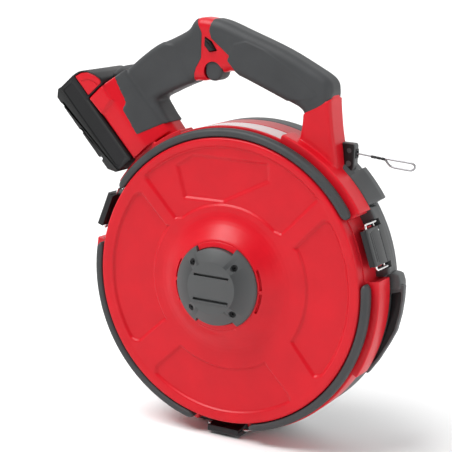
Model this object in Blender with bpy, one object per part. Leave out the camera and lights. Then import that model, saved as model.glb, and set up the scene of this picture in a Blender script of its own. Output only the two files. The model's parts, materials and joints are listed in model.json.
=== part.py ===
"""Powered fish tape reel: a drum case that stands upright on a foot, with a D handle,
a slide-on battery pack, three draw latches and a flat steel tape that leaves at a nozzle.

Every shape is written in the reel frame: the drum turns about the Y axis through the frame's
origin, Y = 0 is the front rim of the case, +Y runs to the back and +Z is up.
The reel frame is an empty, raised so that the foot's flat underside lies at Z = 0.
"""
import math

import bmesh
import bpy
from mathutils import Matrix, Vector

MM = 0.001
GAP = 0.3 * MM

# ---- Driving dimensions -------------------------------------------------------------------
AXIS_HEIGHT = 180 * MM
FOOT_CENTRE_Y = 81 * MM

RIM_R = 160 * MM            # outer radius of the front cover at its rim
BAND_R = 171.5 * MM         # outer radius of the cover's band behind the bumper
BAND_FRONT_Y = 14 * MM
SEAM_Y = 44 * MM            # plane where the front cover meets the rear housing
COLLAR_INNER_R = 172 * MM
COLLAR_R = 177 * MM
BUMPER_R = 169.8 * MM
REAR_R = 169 * MM
REAR_BACK_Y = 100 * MM
CASE_WALL = 3 * MM
CASE_STEPS = 48             # facets round the case

CONE_R = 50.5 * MM
CONE_FRONT_Y = -16.5 * MM
CAP_R = 49.2 * MM
CAP_FACE_R = 29 * MM
CAP_FRONT_Y = -32 * MM
CAP_SCREW_R = 36 * MM
CAP_SCREW_ANGLES = (45, 135, 225, 315)

SPINDLE_R = 8 * MM
BEARING_R = 16 * MM
DRUM_R = 152 * MM
DRUM_CORE_R = 129 * MM
COIL_R = 148 * MM

GEAR_MODULE = 2.5 * MM
DRUM_TEETH = 48
PINION_TEETH = 12
GEAR_FRONT_Y = 75 * MM
GEAR_WIDTH = 8 * MM
DRUM_FRONT_Y = 33 * MM       # front face of the drum's front flange
FLANGE_THICKNESS = 2.5 * MM
DRUM_WIDTH = 33.5 * MM
PLATE_FRONT_Y = 86 * MM       # front face of the plate that carries the rear bearing
MOTOR_FRONT_Y = 96 * MM
MOTOR_LENGTH = 68 * MM
MOTOR_ANGLE = 110
MOTOR_R = 24 * MM
MOTOR_HOUSING_R = 42 * MM
MOTOR_HOUSING_BACK_Y = 176 * MM
GEARBOX_BACK_Y = 124 * MM

LATCH_ANGLES = {"right": 20, "left": 160, "bottom": 270}
LATCH_GAP_DEG = 24          # angle the bumper leaves free at each latch
LATCH_PIVOT_R = 168.5 * MM
LATCH_PIVOT_Y = 34 * MM
LEVER_HALF_WIDTH = 17.4 * MM
BAIL_HALF_WIDTH = 21 * MM
BAIL_WIRE_R = 1.25 * MM
POCKET_R = 161.5 * MM
EAR_INNER = 17.75 * MM      # from a latch's middle to the inner face of each ear on the cover
EAR_THICKNESS = 1.65 * MM

HANDLE_FRONT_Y = 27.5 * MM
HANDLE_BACK_Y = 62.5 * MM
GRIP_SKIN = 3.5 * MM
SHELL_WALL = 3 * MM

PACK_ANGLE = 133.1          # direction in XZ in which the pack slides off
PACK_BOTTOM_U = 176 * MM
PACK_TOP_U = 296 * MM
FOOT_END_U = 263.5 * MM
PACK_SEAT_N = 10.5 * MM
PACK_OUTER_N = 43 * MM
PACK_FRONT_Y = 7 * MM
PACK_BACK_Y = 83 * MM
CELL_R = 9 * MM
CELL_COUNT = 5

TAPE_Y = 52 * MM
TAPE_WIDTH = 4 * MM
TAPE_THICKNESS = 1.2 * MM
TAPE_SLOPE = -0.09
TAPE_NOZZLE_Z = 149 * MM
NOZZLE_X = 124 * MM

# Handle silhouette in XZ (millimetres): the outside from the right leg's base over the grip
# to the battery foot, then the finger opening from the left leg back to the right leg.
HANDLE_OUTSIDE = [(106, 165), (107, 195), (106, 214), (101, 223), (80, 237), (43, 255),
                  (-6, 273), (-30, 281), (-49, 284), (-61, 284), (-68, 279), (-74, 270), (-87, 262),
                  (-113, 249), (-132, 235), (-148, 221), (-172, 196), (-130, 128)]
HEAD_LEFT = [(-64, 213), (-61, 228), (-54.5, 240), (-54, 273), (-60, 284)]
HEAD_RIGHT = [(-38, 284), (-45, 271), (-43, 262), (-31, 253), (-18, 243), (-14, 227)]
FINGER_OPENING = [(-97, 189), (-90, 199), (-64, 213), (-50, 214), (-22, 227), (-9, 224),
                  (21, 213), (56, 202), (69, 188)]


# ---- Materials ----------------------------------------------------------------------------
def material(name, colour, roughness, metallic=0.0):
    """A Principled material with one colour."""
    made = bpy.data.materials.new(name)
    made.use_nodes = True
    shader = made.node_tree.nodes["Principled BSDF"]
    shader.inputs["Base Color"].default_value = (*colour, 1.0)
    shader.inputs["Roughness"].default_value = roughness
    shader.inputs["Metallic"].default_value = metallic
    return made


# ---- Scene helpers ------------------------------------------------------------------------
def clear_scene():
    for item in list(bpy.data.objects):
        bpy.data.objects.remove(item, do_unlink=True)


def add_empty(name, location, rotation=(0, 0, 0), parent=None):
    empty = bpy.data.objects.new(name, None)
    empty.location = location
    empty.rotation_euler = rotation
    empty.parent = parent
    bpy.context.scene.collection.objects.link(empty)
    return empty


def add_object(name, mesh_data, look, parent, pivot=(0, 0, 0)):
    """Turn a bmesh in the parent's frame into an object whose origin lies at the pivot."""
    bmesh.ops.recalc_face_normals(mesh_data, faces=mesh_data.faces)
    bmesh.ops.translate(mesh_data, vec=-Vector(pivot), verts=mesh_data.verts)
    mesh = bpy.data.meshes.new(name)
    mesh_data.to_mesh(mesh)
    mesh_data.free()
    mesh.shade_smooth()
    mesh.set_sharp_from_angle(angle=math.radians(35))
    made = bpy.data.objects.new(name, mesh)
    made.location = pivot
    made.parent = parent
    if look:
        mesh.materials.append(look)
    bpy.context.scene.collection.objects.link(made)
    return made


def add_cutter(name, shapes, parent):
    """One hidden object that holds every shape to be added to, or cut from, another."""
    joined = bmesh.new()
    for shape in shapes:
        bmesh.ops.recalc_face_normals(shape, faces=shape.faces)
        part = bpy.data.meshes.new(name)
        shape.to_mesh(part)
        shape.free()
        joined.from_mesh(part)
    made = add_object(name, joined, None, parent)
    made.hide_render = True
    made.display_type = "WIRE"
    return made


def boolean(target, operation, name, shapes, overlapping=False):
    """Add an EXACT Boolean with the shapes, which are in the target parent's frame.
    overlapping says that some of the shapes run into each other."""
    cutter = add_cutter(target.name + "." + name, shapes, target.parent)
    modifier = target.modifiers.new(name, "BOOLEAN")
    modifier.operation = operation
    modifier.solver = "EXACT"
    modifier.use_self = overlapping
    modifier.object = cutter


# ---- Shape helpers: each returns a bmesh ---------------------------------------------------
def polar(radius, degrees, y=0.0):
    angle = math.radians(degrees)
    return Vector((radius * math.cos(angle), y, radius * math.sin(angle)))


def arc(radius, start, end, steps, centre=(0, 0)):
    """Points of a circle in the XZ plane, from one angle to another."""
    points = []
    for index in range(steps + 1):
        angle = math.radians(start + (end - start) * index / steps)
        points.append((centre[0] + radius * math.cos(angle), centre[1] + radius * math.sin(angle)))
    return points


def turned(profile, steps, start=None, end=None):
    """Turn a closed (radius, y) profile about the Y axis, all the way round or over a sector."""
    shape = bmesh.new()
    whole = start is None
    count = steps if whole else steps + 1
    span = 360 if whole else end - start
    rings = []
    for index in range(count):
        angle = (0 if whole else start) + span * index / steps
        rings.append([shape.verts.new(polar(radius, angle, y)) for radius, y in profile])
    for index in range(steps):
        near = rings[index]
        far = rings[(index + 1) % count]
        for corner in range(len(profile)):
            following = (corner + 1) % len(profile)
            shape.faces.new((near[corner], near[following], far[following], far[corner]))
    if not whole:
        shape.faces.new(rings[0])
        shape.faces.new(rings[-1])
    return shape


def stacked(sections, closed=False):
    """Join sections with equal numbers of points: into a ring, or into a bar with capped ends."""
    shape = bmesh.new()
    rings = [[shape.verts.new(point) for point in section] for section in sections]
    pairs = list(zip(rings, rings[1:]))
    if closed:
        pairs.append((rings[-1], rings[0]))
    for near, far in pairs:
        for corner in range(len(near)):
            following = (corner + 1) % len(near)
            shape.faces.new((near[corner], near[following], far[following], far[corner]))
    if not closed:
        shape.faces.new(rings[0])
        shape.faces.new(rings[-1])
    return shape


def prism(outline, front, back):
    """An XZ outline run from one Y to another."""
    return stacked([[Vector((x, y, z)) for x, z in outline] for y in (front, back)])


def signed_area(outline):
    total = 0.0
    for (x0, z0), (x1, z1) in zip(outline, outline[1:] + outline[:1]):
        total += x0 * z1 - x1 * z0
    return total / 2


def inset(outline, distance):
    """Move every side of an XZ outline inwards; a negative distance moves it outwards."""
    turn = 1 if signed_area(outline) > 0 else -1
    moved = []
    for index, corner in enumerate(outline):
        here = Vector(corner)
        before = (here - Vector(outline[index - 1])).normalized()
        after = (Vector(outline[(index + 1) % len(outline)]) - here).normalized()
        normal_before = Vector((-before.y, before.x)) * turn
        normal_after = Vector((-after.y, after.x)) * turn
        bisector = (normal_before + normal_after).normalized()
        stretch = min(1 / max(bisector.dot(normal_after), 0.1), 1.6)
        moved.append(tuple(here + bisector * distance * stretch))
    return moved


def rounded_prism(outline, front, back, front_round=0.0, back_round=0.0):
    """A prism whose front and back edges are rounded in two steps."""
    levels = []
    for depth, sink in ((0, 1), (0.3, 0.3), (1, 0)):
        if front_round or depth == 0:
            levels.append((front + depth * front_round, sink * front_round))
    for depth, sink in ((1, 0), (0.3, 0.3), (0, 1)):
        if back_round or depth == 0:
            levels.append((back - depth * back_round, sink * back_round))
    sections = []
    for y, sink in levels:
        sections.append([Vector((x, y, z)) for x, z in inset(outline, sink)])
    return stacked(sections)


def box(low, high):
    corners = [(low[0], low[2]), (high[0], low[2]), (high[0], high[2]), (low[0], high[2])]
    return prism(corners, low[1], high[1])


def cylinder(centre, radius, front, back, sides):
    """A cylinder along Y about an XZ centre."""
    return prism(arc(radius, 0, 360 * (sides - 1) / sides, sides - 1, centre), front, back)


def moved(shape, matrix):
    bmesh.ops.transform(shape, matrix=matrix, verts=shape.verts)
    return shape


def wire(points, radius, sides, flat_normal, closed=False):
    """A round wire through points that all lie in one plane, which flat_normal is square to."""
    points = [Vector(point) for point in points]
    normal = Vector(flat_normal).normalized()
    sections = []
    for index, point in enumerate(points):
        before = points[index - 1] if closed or index > 0 else None
        after = points[(index + 1) % len(points)] if closed or index < len(points) - 1 else None
        directions = []
        if before is not None:
            directions.append((point - before).normalized())
        if after is not None:
            directions.append((after - point).normalized())
        along = sum(directions, Vector()).normalized()
        side = along.cross(normal)
        widen = 1 / max(along.dot(directions[0]), 0.5)
        ring = []
        for step in range(sides):
            angle = 2 * math.pi * (step + 0.5) / sides
            ring.append(point + side * radius * widen * math.cos(angle) + normal * radius * math.sin(angle))
        sections.append(ring)
    return stacked(sections, closed)


def millimetres(outline):
    return [(x * MM, z * MM) for x, z in outline]


# ---- Frames -------------------------------------------------------------------------------
def latch_matrix(angle):
    """Latch frame to reel frame: local Z points out from the drum axis, local Y stays Y."""
    return Matrix.Rotation(math.radians(90 - angle), 4, "Y")


def pack_matrix():
    """Pack frame to reel frame: local X is U, the way the pack slides off, and local Z is N,
    which points from the handle's foot out through the pack."""
    angle = math.radians(PACK_ANGLE)
    along = Vector((math.cos(angle), 0, math.sin(angle)))
    out = Vector((-along.z, 0, along.x))
    matrix = Matrix.Identity(4)
    matrix.col[0][:3] = along
    matrix.col[1][:3] = (0, 1, 0)
    matrix.col[2][:3] = out
    return matrix


def motor_centre():
    distance = GEAR_MODULE * (DRUM_TEETH + PINION_TEETH) / 2
    centre = polar(distance, MOTOR_ANGLE)
    return centre.x, centre.z


def two_circle_outline(axis_radius, motor_radius):
    """Outline round a circle on the drum axis and a circle on the motor axis."""
    centre = motor_centre()
    lean = math.degrees(math.acos((axis_radius - motor_radius) / math.hypot(*centre)))
    far_end = arc(motor_radius, MOTOR_ANGLE - lean, MOTOR_ANGLE + lean, 12, centre)
    near_end = arc(axis_radius, MOTOR_ANGLE + lean, MOTOR_ANGLE - lean + 360, 12)
    return far_end + near_end


def latch_sectors():
    """Start and end angles of the three stretches of rim between the latches."""
    half = LATCH_GAP_DEG / 2
    right, left, bottom = LATCH_ANGLES["right"], LATCH_ANGLES["left"], LATCH_ANGLES["bottom"]
    return [(right + half, left - half), (left + half, bottom - half), (bottom + half, 360 + right - half)]


# ---- Drum case ----------------------------------------------------------------------------
def make_front_cover(look, reel):
    """Dished cover: flat face, hub cone with a bearing boss, side wall and outer band."""
    outer = [(BEARING_R + GAP, -14 * MM), (24 * MM, CONE_FRONT_Y), (CONE_R, CONE_FRONT_Y),
             (55 * MM, -12.5 * MM), (62 * MM, -7.5 * MM), (70 * MM, -2.8 * MM), (79 * MM, 0),
             (RIM_R - 2 * MM, 0), (RIM_R, 2 * MM), (RIM_R, BAND_FRONT_Y), (POCKET_R, BAND_FRONT_Y + MM),
             (POCKET_R, SEAM_Y - GAP / 2)]
    inner = [(POCKET_R - CASE_WALL, SEAM_Y - GAP / 2), (POCKET_R - CASE_WALL, 6 * MM), (156 * MM, CASE_WALL),
             (80 * MM, CASE_WALL), (68 * MM, 0.6 * MM), (48 * MM, -13 * MM), (21 * MM, -13 * MM),
             (21 * MM, -5 * MM), (BEARING_R + GAP, -5 * MM)]
    cover = add_object("front_cover", turned(outer + inner, CASE_STEPS), look, reel)
    bands = []
    hollows = []
    for start, end in latch_sectors():
        steps = round((end - start) / 7)
        solid = [(POCKET_R - MM, BAND_FRONT_Y), (BAND_R, BAND_FRONT_Y),
                 (BAND_R, SEAM_Y - GAP / 2), (POCKET_R - MM, SEAM_Y - GAP / 2)]
        hollow = [(POCKET_R + MM, BAND_FRONT_Y + CASE_WALL), (BAND_R - CASE_WALL, BAND_FRONT_Y + CASE_WALL),
                  (BAND_R - CASE_WALL, SEAM_Y + MM), (POCKET_R + MM, SEAM_Y + MM)]
        bands.append(turned(solid, steps, start, end))
        hollows.append(turned(hollow, steps, start + 1.2, end - 1.2))
    boolean(cover, "UNION", "bands", bands)
    boolean(cover, "DIFFERENCE", "band_hollows", hollows)
    ears = []
    bores = []
    for angle in LATCH_ANGLES.values():
        for side in (-1, 1):
            low = min(side * EAR_INNER, side * (EAR_INNER + EAR_THICKNESS))
            ear = box((low, 30 * MM, POCKET_R - 2 * MM), (low + EAR_THICKNESS, 38 * MM, BAND_R))
            ears.append(moved(ear, latch_matrix(angle)))
        bore = cylinder((0, 0), 1.9 * MM, -24 * MM, 24 * MM, 12)
        place = Matrix.Translation((0, LATCH_PIVOT_Y, LATCH_PIVOT_R)) @ Matrix.Rotation(math.pi / 2, 4, "Z")
        bores.append(moved(bore, latch_matrix(angle) @ place))
    boolean(cover, "UNION", "ears", ears)
    boolean(cover, "DIFFERENCE", "pin_bores", bores)


def make_hub_cap(look, reel):
    """Cone-sided cap with four screw recesses and two straight slots across its flat face."""
    back = CONE_FRONT_Y - GAP
    sections = []
    for y, radius in ((back, CAP_R), (-19 * MM, CAP_R), (-21 * MM, CAP_R - MM), (CAP_FRONT_Y, CAP_FACE_R)):
        sections.append([Vector((x, y, z)) for x, z in arc(radius, 0, 351, 39)])
    cap = add_object("hub_cap", stacked(sections), look, reel)
    cuts = [cylinder((0, 0), 24 * MM, -27 * MM, back + MM, 24)]
    for angle in CAP_SCREW_ANGLES:
        centre = polar(CAP_SCREW_R, angle)
        cuts.append(cylinder((centre.x, centre.z), 4 * MM, -40 * MM, -22.5 * MM, 12))
    for height in (-13.5 * MM, 13.5 * MM):
        cuts.append(box((-22 * MM, -40 * MM, height - MM), (22 * MM, -29 * MM, height + MM)))
    boolean(cap, "DIFFERENCE", "recesses", cuts)


def make_hub_screws(look, reel):
    for index, angle in enumerate(CAP_SCREW_ANGLES):
        centre = polar(CAP_SCREW_R, angle)
        head = cylinder((centre.x, centre.z), 3.6 * MM, -25.5 * MM, -22.5 * MM - GAP, 12)
        screw = add_object(f"hub_screw_{index + 1}", head, look, reel)
        socket = cylinder((centre.x, centre.z), 1.6 * MM, -26 * MM, -24 * MM, 6)
        boolean(screw, "DIFFERENCE", "socket", [socket])


def make_bumpers(look, reel):
    """Rubber segments that sit in the step of the cover's rim."""
    inner = RIM_R + GAP
    profile = [(inner, BAND_FRONT_Y - GAP), (inner, 1.2 * MM), (inner + 2 * MM, 0), (165.5 * MM, -0.6 * MM),
               (168.6 * MM, 1.5 * MM), (BUMPER_R, 6 * MM), (BUMPER_R - 0.2 * MM, 10.5 * MM),
               (168 * MM, BAND_FRONT_Y - GAP)]
    for name, (start, end) in zip(("top", "left", "right"), latch_sectors()):
        steps = round((end - start) / 6)
        add_object("bumper_" + name, turned(profile, steps, start + 0.4, end - 0.4), look, reel)


def collar_section(start, end, radius=COLLAR_R):
    """Raised red collar round the outside of the cover's band."""
    profile = [(COLLAR_INNER_R, BAND_FRONT_Y), (radius - 1.5 * MM, BAND_FRONT_Y),
               (radius, BAND_FRONT_Y + 2 * MM), (radius, SEAM_Y - GAP / 2),
               (COLLAR_INNER_R, SEAM_Y - GAP / 2)]
    return turned(profile, max(2, round((end - start) / 6)), start, end)


def make_lower_collars(look, reel):
    add_object("collar_right", collar_section(-28, 8), look, reel)
    add_object("collar_left", collar_section(172, 208), look, reel)


def make_rear_housing(look, reel):
    """Bowl behind the seam with the motor housing, the latch keepers and a raised top edge."""
    front = SEAM_Y + GAP / 2
    outer = [(REAR_R, front), (REAR_R, 74 * MM), (166 * MM, 84 * MM), (160 * MM, 94 * MM),
             (152 * MM, REAR_BACK_Y), (12 * MM, REAR_BACK_Y)]
    inner = [(12 * MM, REAR_BACK_Y - CASE_WALL), (150 * MM, REAR_BACK_Y - CASE_WALL),
             (157 * MM, 92 * MM), (REAR_R - CASE_WALL, 72 * MM), (REAR_R - CASE_WALL, front)]
    housing = add_object("rear_housing", turned(outer + inner, CASE_STEPS), look, reel)
    centre = motor_centre()
    gearbox = two_circle_outline(46 * MM, 50 * MM)
    additions = [rounded_prism(gearbox, REAR_BACK_Y - 2 * MM, GEARBOX_BACK_Y, 0, 6 * MM)]
    top_edge = [(165 * MM, 74 * MM + GAP), (172 * MM, 74 * MM + GAP), (172 * MM, 96 * MM),
                (170 * MM, 98 * MM), (156 * MM, 98 * MM), (162 * MM, 88 * MM)]
    additions.append(turned(top_edge, 14, 48, 140))
    lobe = [(REAR_R - 2 * MM, front), (COLLAR_R, front), (COLLAR_R, 62 * MM), (174 * MM, 68 * MM),
            (REAR_R - 2 * MM, 70 * MM)]
    additions.append(turned(lobe, 5, 8.6, 33.2))
    additions.append(turned(lobe, 5, 146.8, 171.4))
    boolean(housing, "UNION", "additions", additions)
    motor_outside = arc(MOTOR_HOUSING_R, 0, 348.75, 31, centre)
    motor_cover = rounded_prism(motor_outside, GEARBOX_BACK_Y - 4 * MM, MOTOR_HOUSING_BACK_Y, 0, 5 * MM)
    boolean(housing, "UNION", "motor_cover", [motor_cover])
    gearbox_room = prism(inset(gearbox, CASE_WALL), REAR_BACK_Y - 10 * MM, GEARBOX_BACK_Y - CASE_WALL)
    boolean(housing, "DIFFERENCE", "gearbox_room", [gearbox_room])
    cuts = [cylinder(centre, MOTOR_HOUSING_R - CASE_WALL, GEARBOX_BACK_Y - 8 * MM,
                     MOTOR_HOUSING_BACK_Y - CASE_WALL, 32)]
    for angle in LATCH_ANGLES.values():
        notch = box((-24 * MM, SEAM_Y - MM, 166.9 * MM), (24 * MM, 51.5 * MM, 190 * MM))
        cuts.append(moved(notch, latch_matrix(angle)))
    boolean(housing, "DIFFERENCE", "hollows", cuts)
    keepers = []
    for angle in LATCH_ANGLES.values():
        keeper = box((-17 * MM, front, 164 * MM), (17 * MM, front + 1.3 * MM, 171.5 * MM))
        keepers.append(moved(keeper, latch_matrix(angle)))
    boolean(housing, "UNION", "keepers", keepers)


def make_side_feet(frame_look, pad_look, reel):
    """Feet on both sides of the rear housing, each a frame round a rubber pad."""
    outside = millimetres([(184, 29), (188, 24), (187.5, 3), (182, -26), (169, -60), (153, -90)])
    touching = arc(REAR_R + GAP, -31.5, 8, 8)
    frame_outline = touching + outside
    room_outline = arc(172.5 * MM, -24, 4, 6) + millimetres([(181, 19), (184, 4), (178, -26), (165, -59)])
    for name, mirror in (("right", 1), ("left", -1)):
        outline = [(x * mirror, z) for x, z in frame_outline]
        pad_room = [(x * mirror, z) for x, z in room_outline]
        foot = add_object("side_foot_" + name, rounded_prism(outline, 50 * MM, 84 * MM), frame_look, reel)
        boolean(foot, "DIFFERENCE", "pad_room", [prism(pad_room, 49 * MM, 64 * MM)])
        pad = prism(inset(pad_room, GAP), 54 * MM, 64 * MM - GAP)
        add_object("side_pad_" + name, pad, pad_look, reel)


def make_base_foot(look, reel):
    """Flat foot under the rear housing that the whole reel stands on, notched behind the lower latch."""
    plan = [(-54, 46), (-26, 46), (-26, 54), (24, 54), (30, 61), (40, 75), (45, 90), (45, 110),
            (-60, 110), (-60, 62)]
    sections = []
    for height in (-AXIS_HEIGHT, -148 * MM):
        sections.append([Vector((x * MM, y * MM, height)) for x, y in plan])
    foot = add_object("base_foot", stacked(sections), look, reel)
    room = REAR_R + GAP
    envelope = [(MM, 40 * MM), (room, 40 * MM), (room, 74 * MM), (166 * MM + GAP, 84 * MM + GAP),
                (160 * MM + GAP, 94 * MM + GAP), (152 * MM + GAP, REAR_BACK_Y + GAP), (MM, REAR_BACK_Y + GAP)]
    boolean(foot, "DIFFERENCE", "housing_room", [turned(envelope, CASE_STEPS)])


# ---- Drive --------------------------------------------------------------------------------
def gear_outline(teeth, phase, centre=(0, 0)):
    """Trapezoid teeth; the first tooth's middle points along the phase angle."""
    pitch_r = GEAR_MODULE * teeth / 2
    outline = []
    step = 360 / teeth
    for tooth in range(teeth):
        middle = phase + tooth * step
        for radius, part in ((pitch_r - 1.2 * GEAR_MODULE, -0.31), (pitch_r + 0.85 * GEAR_MODULE, -0.11),
                             (pitch_r + 0.85 * GEAR_MODULE, 0.11), (pitch_r - 1.2 * GEAR_MODULE, 0.31)):
            angle = math.radians(middle + part * step)
            outline.append((centre[0] + radius * math.cos(angle), centre[1] + radius * math.sin(angle)))
    return outline


def make_drive(steel, grey, reel):
    centre = motor_centre()
    gear = add_object("drum_gear", prism(gear_outline(DRUM_TEETH, MOTOR_ANGLE), GEAR_FRONT_Y,
                                         GEAR_FRONT_Y + GEAR_WIDTH), grey, reel)
    bore = cylinder((0, 0), SPINDLE_R + GAP, GEAR_FRONT_Y - MM, GEAR_FRONT_Y + GEAR_WIDTH + MM, 24)
    boolean(gear, "DIFFERENCE", "bore", [bore])
    pinion_phase = MOTOR_ANGLE + 180 + 180 / PINION_TEETH
    pivot = (centre[0], 0, centre[1])
    teeth = prism(gear_outline(PINION_TEETH, pinion_phase, centre), GEAR_FRONT_Y, GEAR_FRONT_Y + GEAR_WIDTH)
    pinion = add_object("motor_pinion", teeth, steel, reel, pivot)
    shaft = cylinder(centre, 4 * MM, GEAR_FRONT_Y + GEAR_WIDTH / 2, MOTOR_FRONT_Y - GAP, 12)
    boolean(pinion, "UNION", "shaft", [shaft])
    add_object("motor", cylinder(centre, MOTOR_R, MOTOR_FRONT_Y, MOTOR_FRONT_Y + MOTOR_LENGTH, 24), steel, reel)
    ring = [(BEARING_R + GAP, PLATE_FRONT_Y), (118 * MM, PLATE_FRONT_Y), (118 * MM, PLATE_FRONT_Y + CASE_WALL),
            (BEARING_R + GAP, PLATE_FRONT_Y + CASE_WALL)]
    plate = add_object("gearbox_plate", turned(ring, 40), grey, reel)
    boolean(plate, "DIFFERENCE", "shaft_room", [cylinder(centre, 7 * MM, PLATE_FRONT_Y - MM, PLATE_FRONT_Y + 4 * MM, 16)])


def make_drum(plastic, steel, reel):
    """Drum with two flanges and a central web, the wound tape on it, its spindle and bearings."""
    add_object("spindle", cylinder((0, 0), SPINDLE_R, -12 * MM, 96 * MM, 24), steel, reel)
    core = DRUM_CORE_R
    inside = core - CASE_WALL
    hub = 20 * MM
    front = DRUM_FRONT_Y
    back = DRUM_FRONT_Y + DRUM_WIDTH
    web = DRUM_FRONT_Y + DRUM_WIDTH / 2
    profile = [(SPINDLE_R + GAP, front), (hub, front), (hub, web), (inside, web), (inside, front),
               (DRUM_R, front), (DRUM_R, front + FLANGE_THICKNESS), (core, front + FLANGE_THICKNESS),
               (core, back - FLANGE_THICKNESS), (DRUM_R, back - FLANGE_THICKNESS), (DRUM_R, back),
               (inside, back), (inside, web + CASE_WALL), (hub, web + CASE_WALL),
               (hub, GEAR_FRONT_Y - GAP), (SPINDLE_R + GAP, GEAR_FRONT_Y - GAP)]
    add_object("drum", turned(profile, 36), plastic, reel)
    coil_front = front + FLANGE_THICKNESS + 1.5 * MM
    coil_back = back - FLANGE_THICKNESS - 1.5 * MM
    coil = [(core + GAP, coil_front), (COIL_R, coil_front), (COIL_R, coil_back), (core + GAP, coil_back)]
    add_object("tape_coil", turned(coil, 36), steel, reel)
    for name, race_front in (("front_bearing", -13.5 * MM), ("rear_bearing", PLATE_FRONT_Y - 2 * MM)):
        race = [(SPINDLE_R + GAP, race_front), (BEARING_R, race_front), (BEARING_R, race_front + 8 * MM),
                (SPINDLE_R + GAP, race_front + 8 * MM)]
        add_object(name, turned(race, 24), steel, reel)


# ---- Tape end and nozzle ------------------------------------------------------------------
def tape_height(x):
    return TAPE_NOZZLE_Z + TAPE_SLOPE * (x - NOZZLE_X)


def make_nozzle(look, guide_look, reel):
    outline = millimetres([(110, 129.5), (121, 131), (128, 136.5), (128, 160), (126, 162), (110, 162)])
    nozzle = add_object("tape_nozzle", prism(outline, 45 * MM, 68 * MM), look, reel)
    slot = box((100 * MM, TAPE_Y - 3.5 * MM, 146 * MM), (140 * MM, TAPE_Y + 3.5 * MM, 153 * MM))
    boolean(nozzle, "DIFFERENCE", "slot", [slot])
    profile = [(COLLAR_INNER_R - 2.5 * MM, SEAM_Y + GAP / 2), (COLLAR_R, SEAM_Y + GAP / 2), (188 * MM, 62 * MM),
               (188 * MM, 70 * MM), (180 * MM, 76 * MM), (COLLAR_INNER_R - 2.5 * MM, 76 * MM)]
    add_object("tape_guide", turned(profile, 3, 34, 46), guide_look, reel)


def make_tape_end(steel, dark, reel):
    """Flat tape end, its crimp sleeve and the closed wire loop that pulls the cable."""
    start, crimp, crimp_end = 97 * MM, 139 * MM, 154 * MM
    half = TAPE_THICKNESS / 2
    strip = [(start, tape_height(start) - half), (crimp - GAP, tape_height(crimp) - half),
             (crimp - GAP, tape_height(crimp) + half), (start, tape_height(start) + half)]
    add_object("tape_end", prism(strip, TAPE_Y - TAPE_WIDTH / 2, TAPE_Y + TAPE_WIDTH / 2), steel, reel)
    sleeve = [(crimp, tape_height(crimp) - 1.9 * MM), (crimp_end, tape_height(crimp_end) - 1.9 * MM),
              (crimp_end, tape_height(crimp_end) + 1.3 * MM), (crimp, tape_height(crimp) + 1.3 * MM)]
    add_object("tape_crimp", prism(sleeve, TAPE_Y - 2.6 * MM, TAPE_Y + 2.6 * MM), dark, reel)
    route = [(155.3, 145.8), (180, 142.9), (184.5, 141.3), (186.5, 138.6), (185.5, 135.6), (181, 135.2),
             (164, 137), (156.5, 143)]
    points = [(x * MM, TAPE_Y, z * MM) for x, z in route]
    add_object("tape_loop", wire(points, 0.9 * MM, 6, (0, 1, 0), closed=True), steel, reel)


# ---- Latches ------------------------------------------------------------------------------
def make_latch(name, angle, dark, steel, reel):
    """Draw latch: a lever on a pin in the cover's ears carries a wire bail that pulls on the keeper."""
    frame = add_empty("latch_" + name, (0, 0, 0), latch_matrix(angle).to_euler(), reel)
    pivot = Vector((0, LATCH_PIVOT_Y, LATCH_PIVOT_R))
    side_profile = [(10.5, 173.4), (12, 175.3), (37, 175.3), (38.5, 173.8), (38.5, 166.2), (30, 165.3),
                    (21, 168.6), (16, 171), (10.5, 171.6)]
    sections = []
    for across in (-LEVER_HALF_WIDTH, LEVER_HALF_WIDTH):
        sections.append([Vector((across, y * MM, z * MM)) for y, z in side_profile])
    lever = add_object("latch_lever_" + name, stacked(sections), dark, frame, pivot)
    across = Matrix.Rotation(math.pi / 2, 4, "Z")
    bail_pivot = Vector((0, 20 * MM, 172.2 * MM))
    cuts = [moved(cylinder((0, 0), 1.9 * MM, -20 * MM, 20 * MM, 12), Matrix.Translation(pivot) @ across)]
    for side in (-1, 1):
        hole = moved(cylinder((0, 0), 1.6 * MM, -2.5 * MM, 2.5 * MM, 10),
                     Matrix.Translation(bail_pivot + Vector((side * 16.5 * MM, 0, 0))) @ across)
        cuts.append(hole)
    boolean(lever, "DIFFERENCE", "bores", cuts)
    pin = moved(cylinder((0, 0), 1.6 * MM, -19.3 * MM, 19.3 * MM, 10), Matrix.Translation(pivot) @ across)
    add_object("latch_pin_" + name, pin, steel, frame, pivot)
    hook = Vector((0, 47.3 * MM, 168.9 * MM))
    inner = Vector((15.2 * MM, 0, 0))
    outer = Vector((BAIL_HALF_WIDTH, 0, 0))
    corner = Vector((2.5 * MM, 0, 0))
    back = (hook - bail_pivot).normalized() * 2.5 * MM
    route = [bail_pivot + inner, bail_pivot + outer - corner / 2, bail_pivot + outer + back / 2,
             hook + outer - back, hook + outer - corner, hook - outer + corner, hook - outer - back,
             bail_pivot - outer + back / 2, bail_pivot - outer + corner / 2, bail_pivot - inner]
    normal = back.cross(outer)
    bail = wire(route, BAIL_WIRE_R, 6, normal)
    add_object("latch_bail_" + name, bail, steel, frame, bail_pivot)


# ---- Handle -------------------------------------------------------------------------------
def left_leg_arc():
    return arc(COLLAR_INNER_R + 0.4 * MM, 137, 115, 3)


def right_leg_arc():
    return arc(COLLAR_INNER_R + 0.4 * MM, 66.2, 53.2, 2)


def handle_outline():
    """Full silhouette: the outside, the case arc at the battery foot, the finger opening and
    the case arc under the right leg."""
    return millimetres(HANDLE_OUTSIDE) + left_leg_arc() + millimetres(FINGER_OPENING) + right_leg_arc()


def grip_outline():
    """Dark grip between the head and the right leg."""
    beyond = [(-14, 210), (21, 200), (60, 185), (69, 190), (104, 210), (120, 230), (80, 260), (0, 300), (-38, 300)]
    return millimetres(HEAD_RIGHT + beyond)


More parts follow.
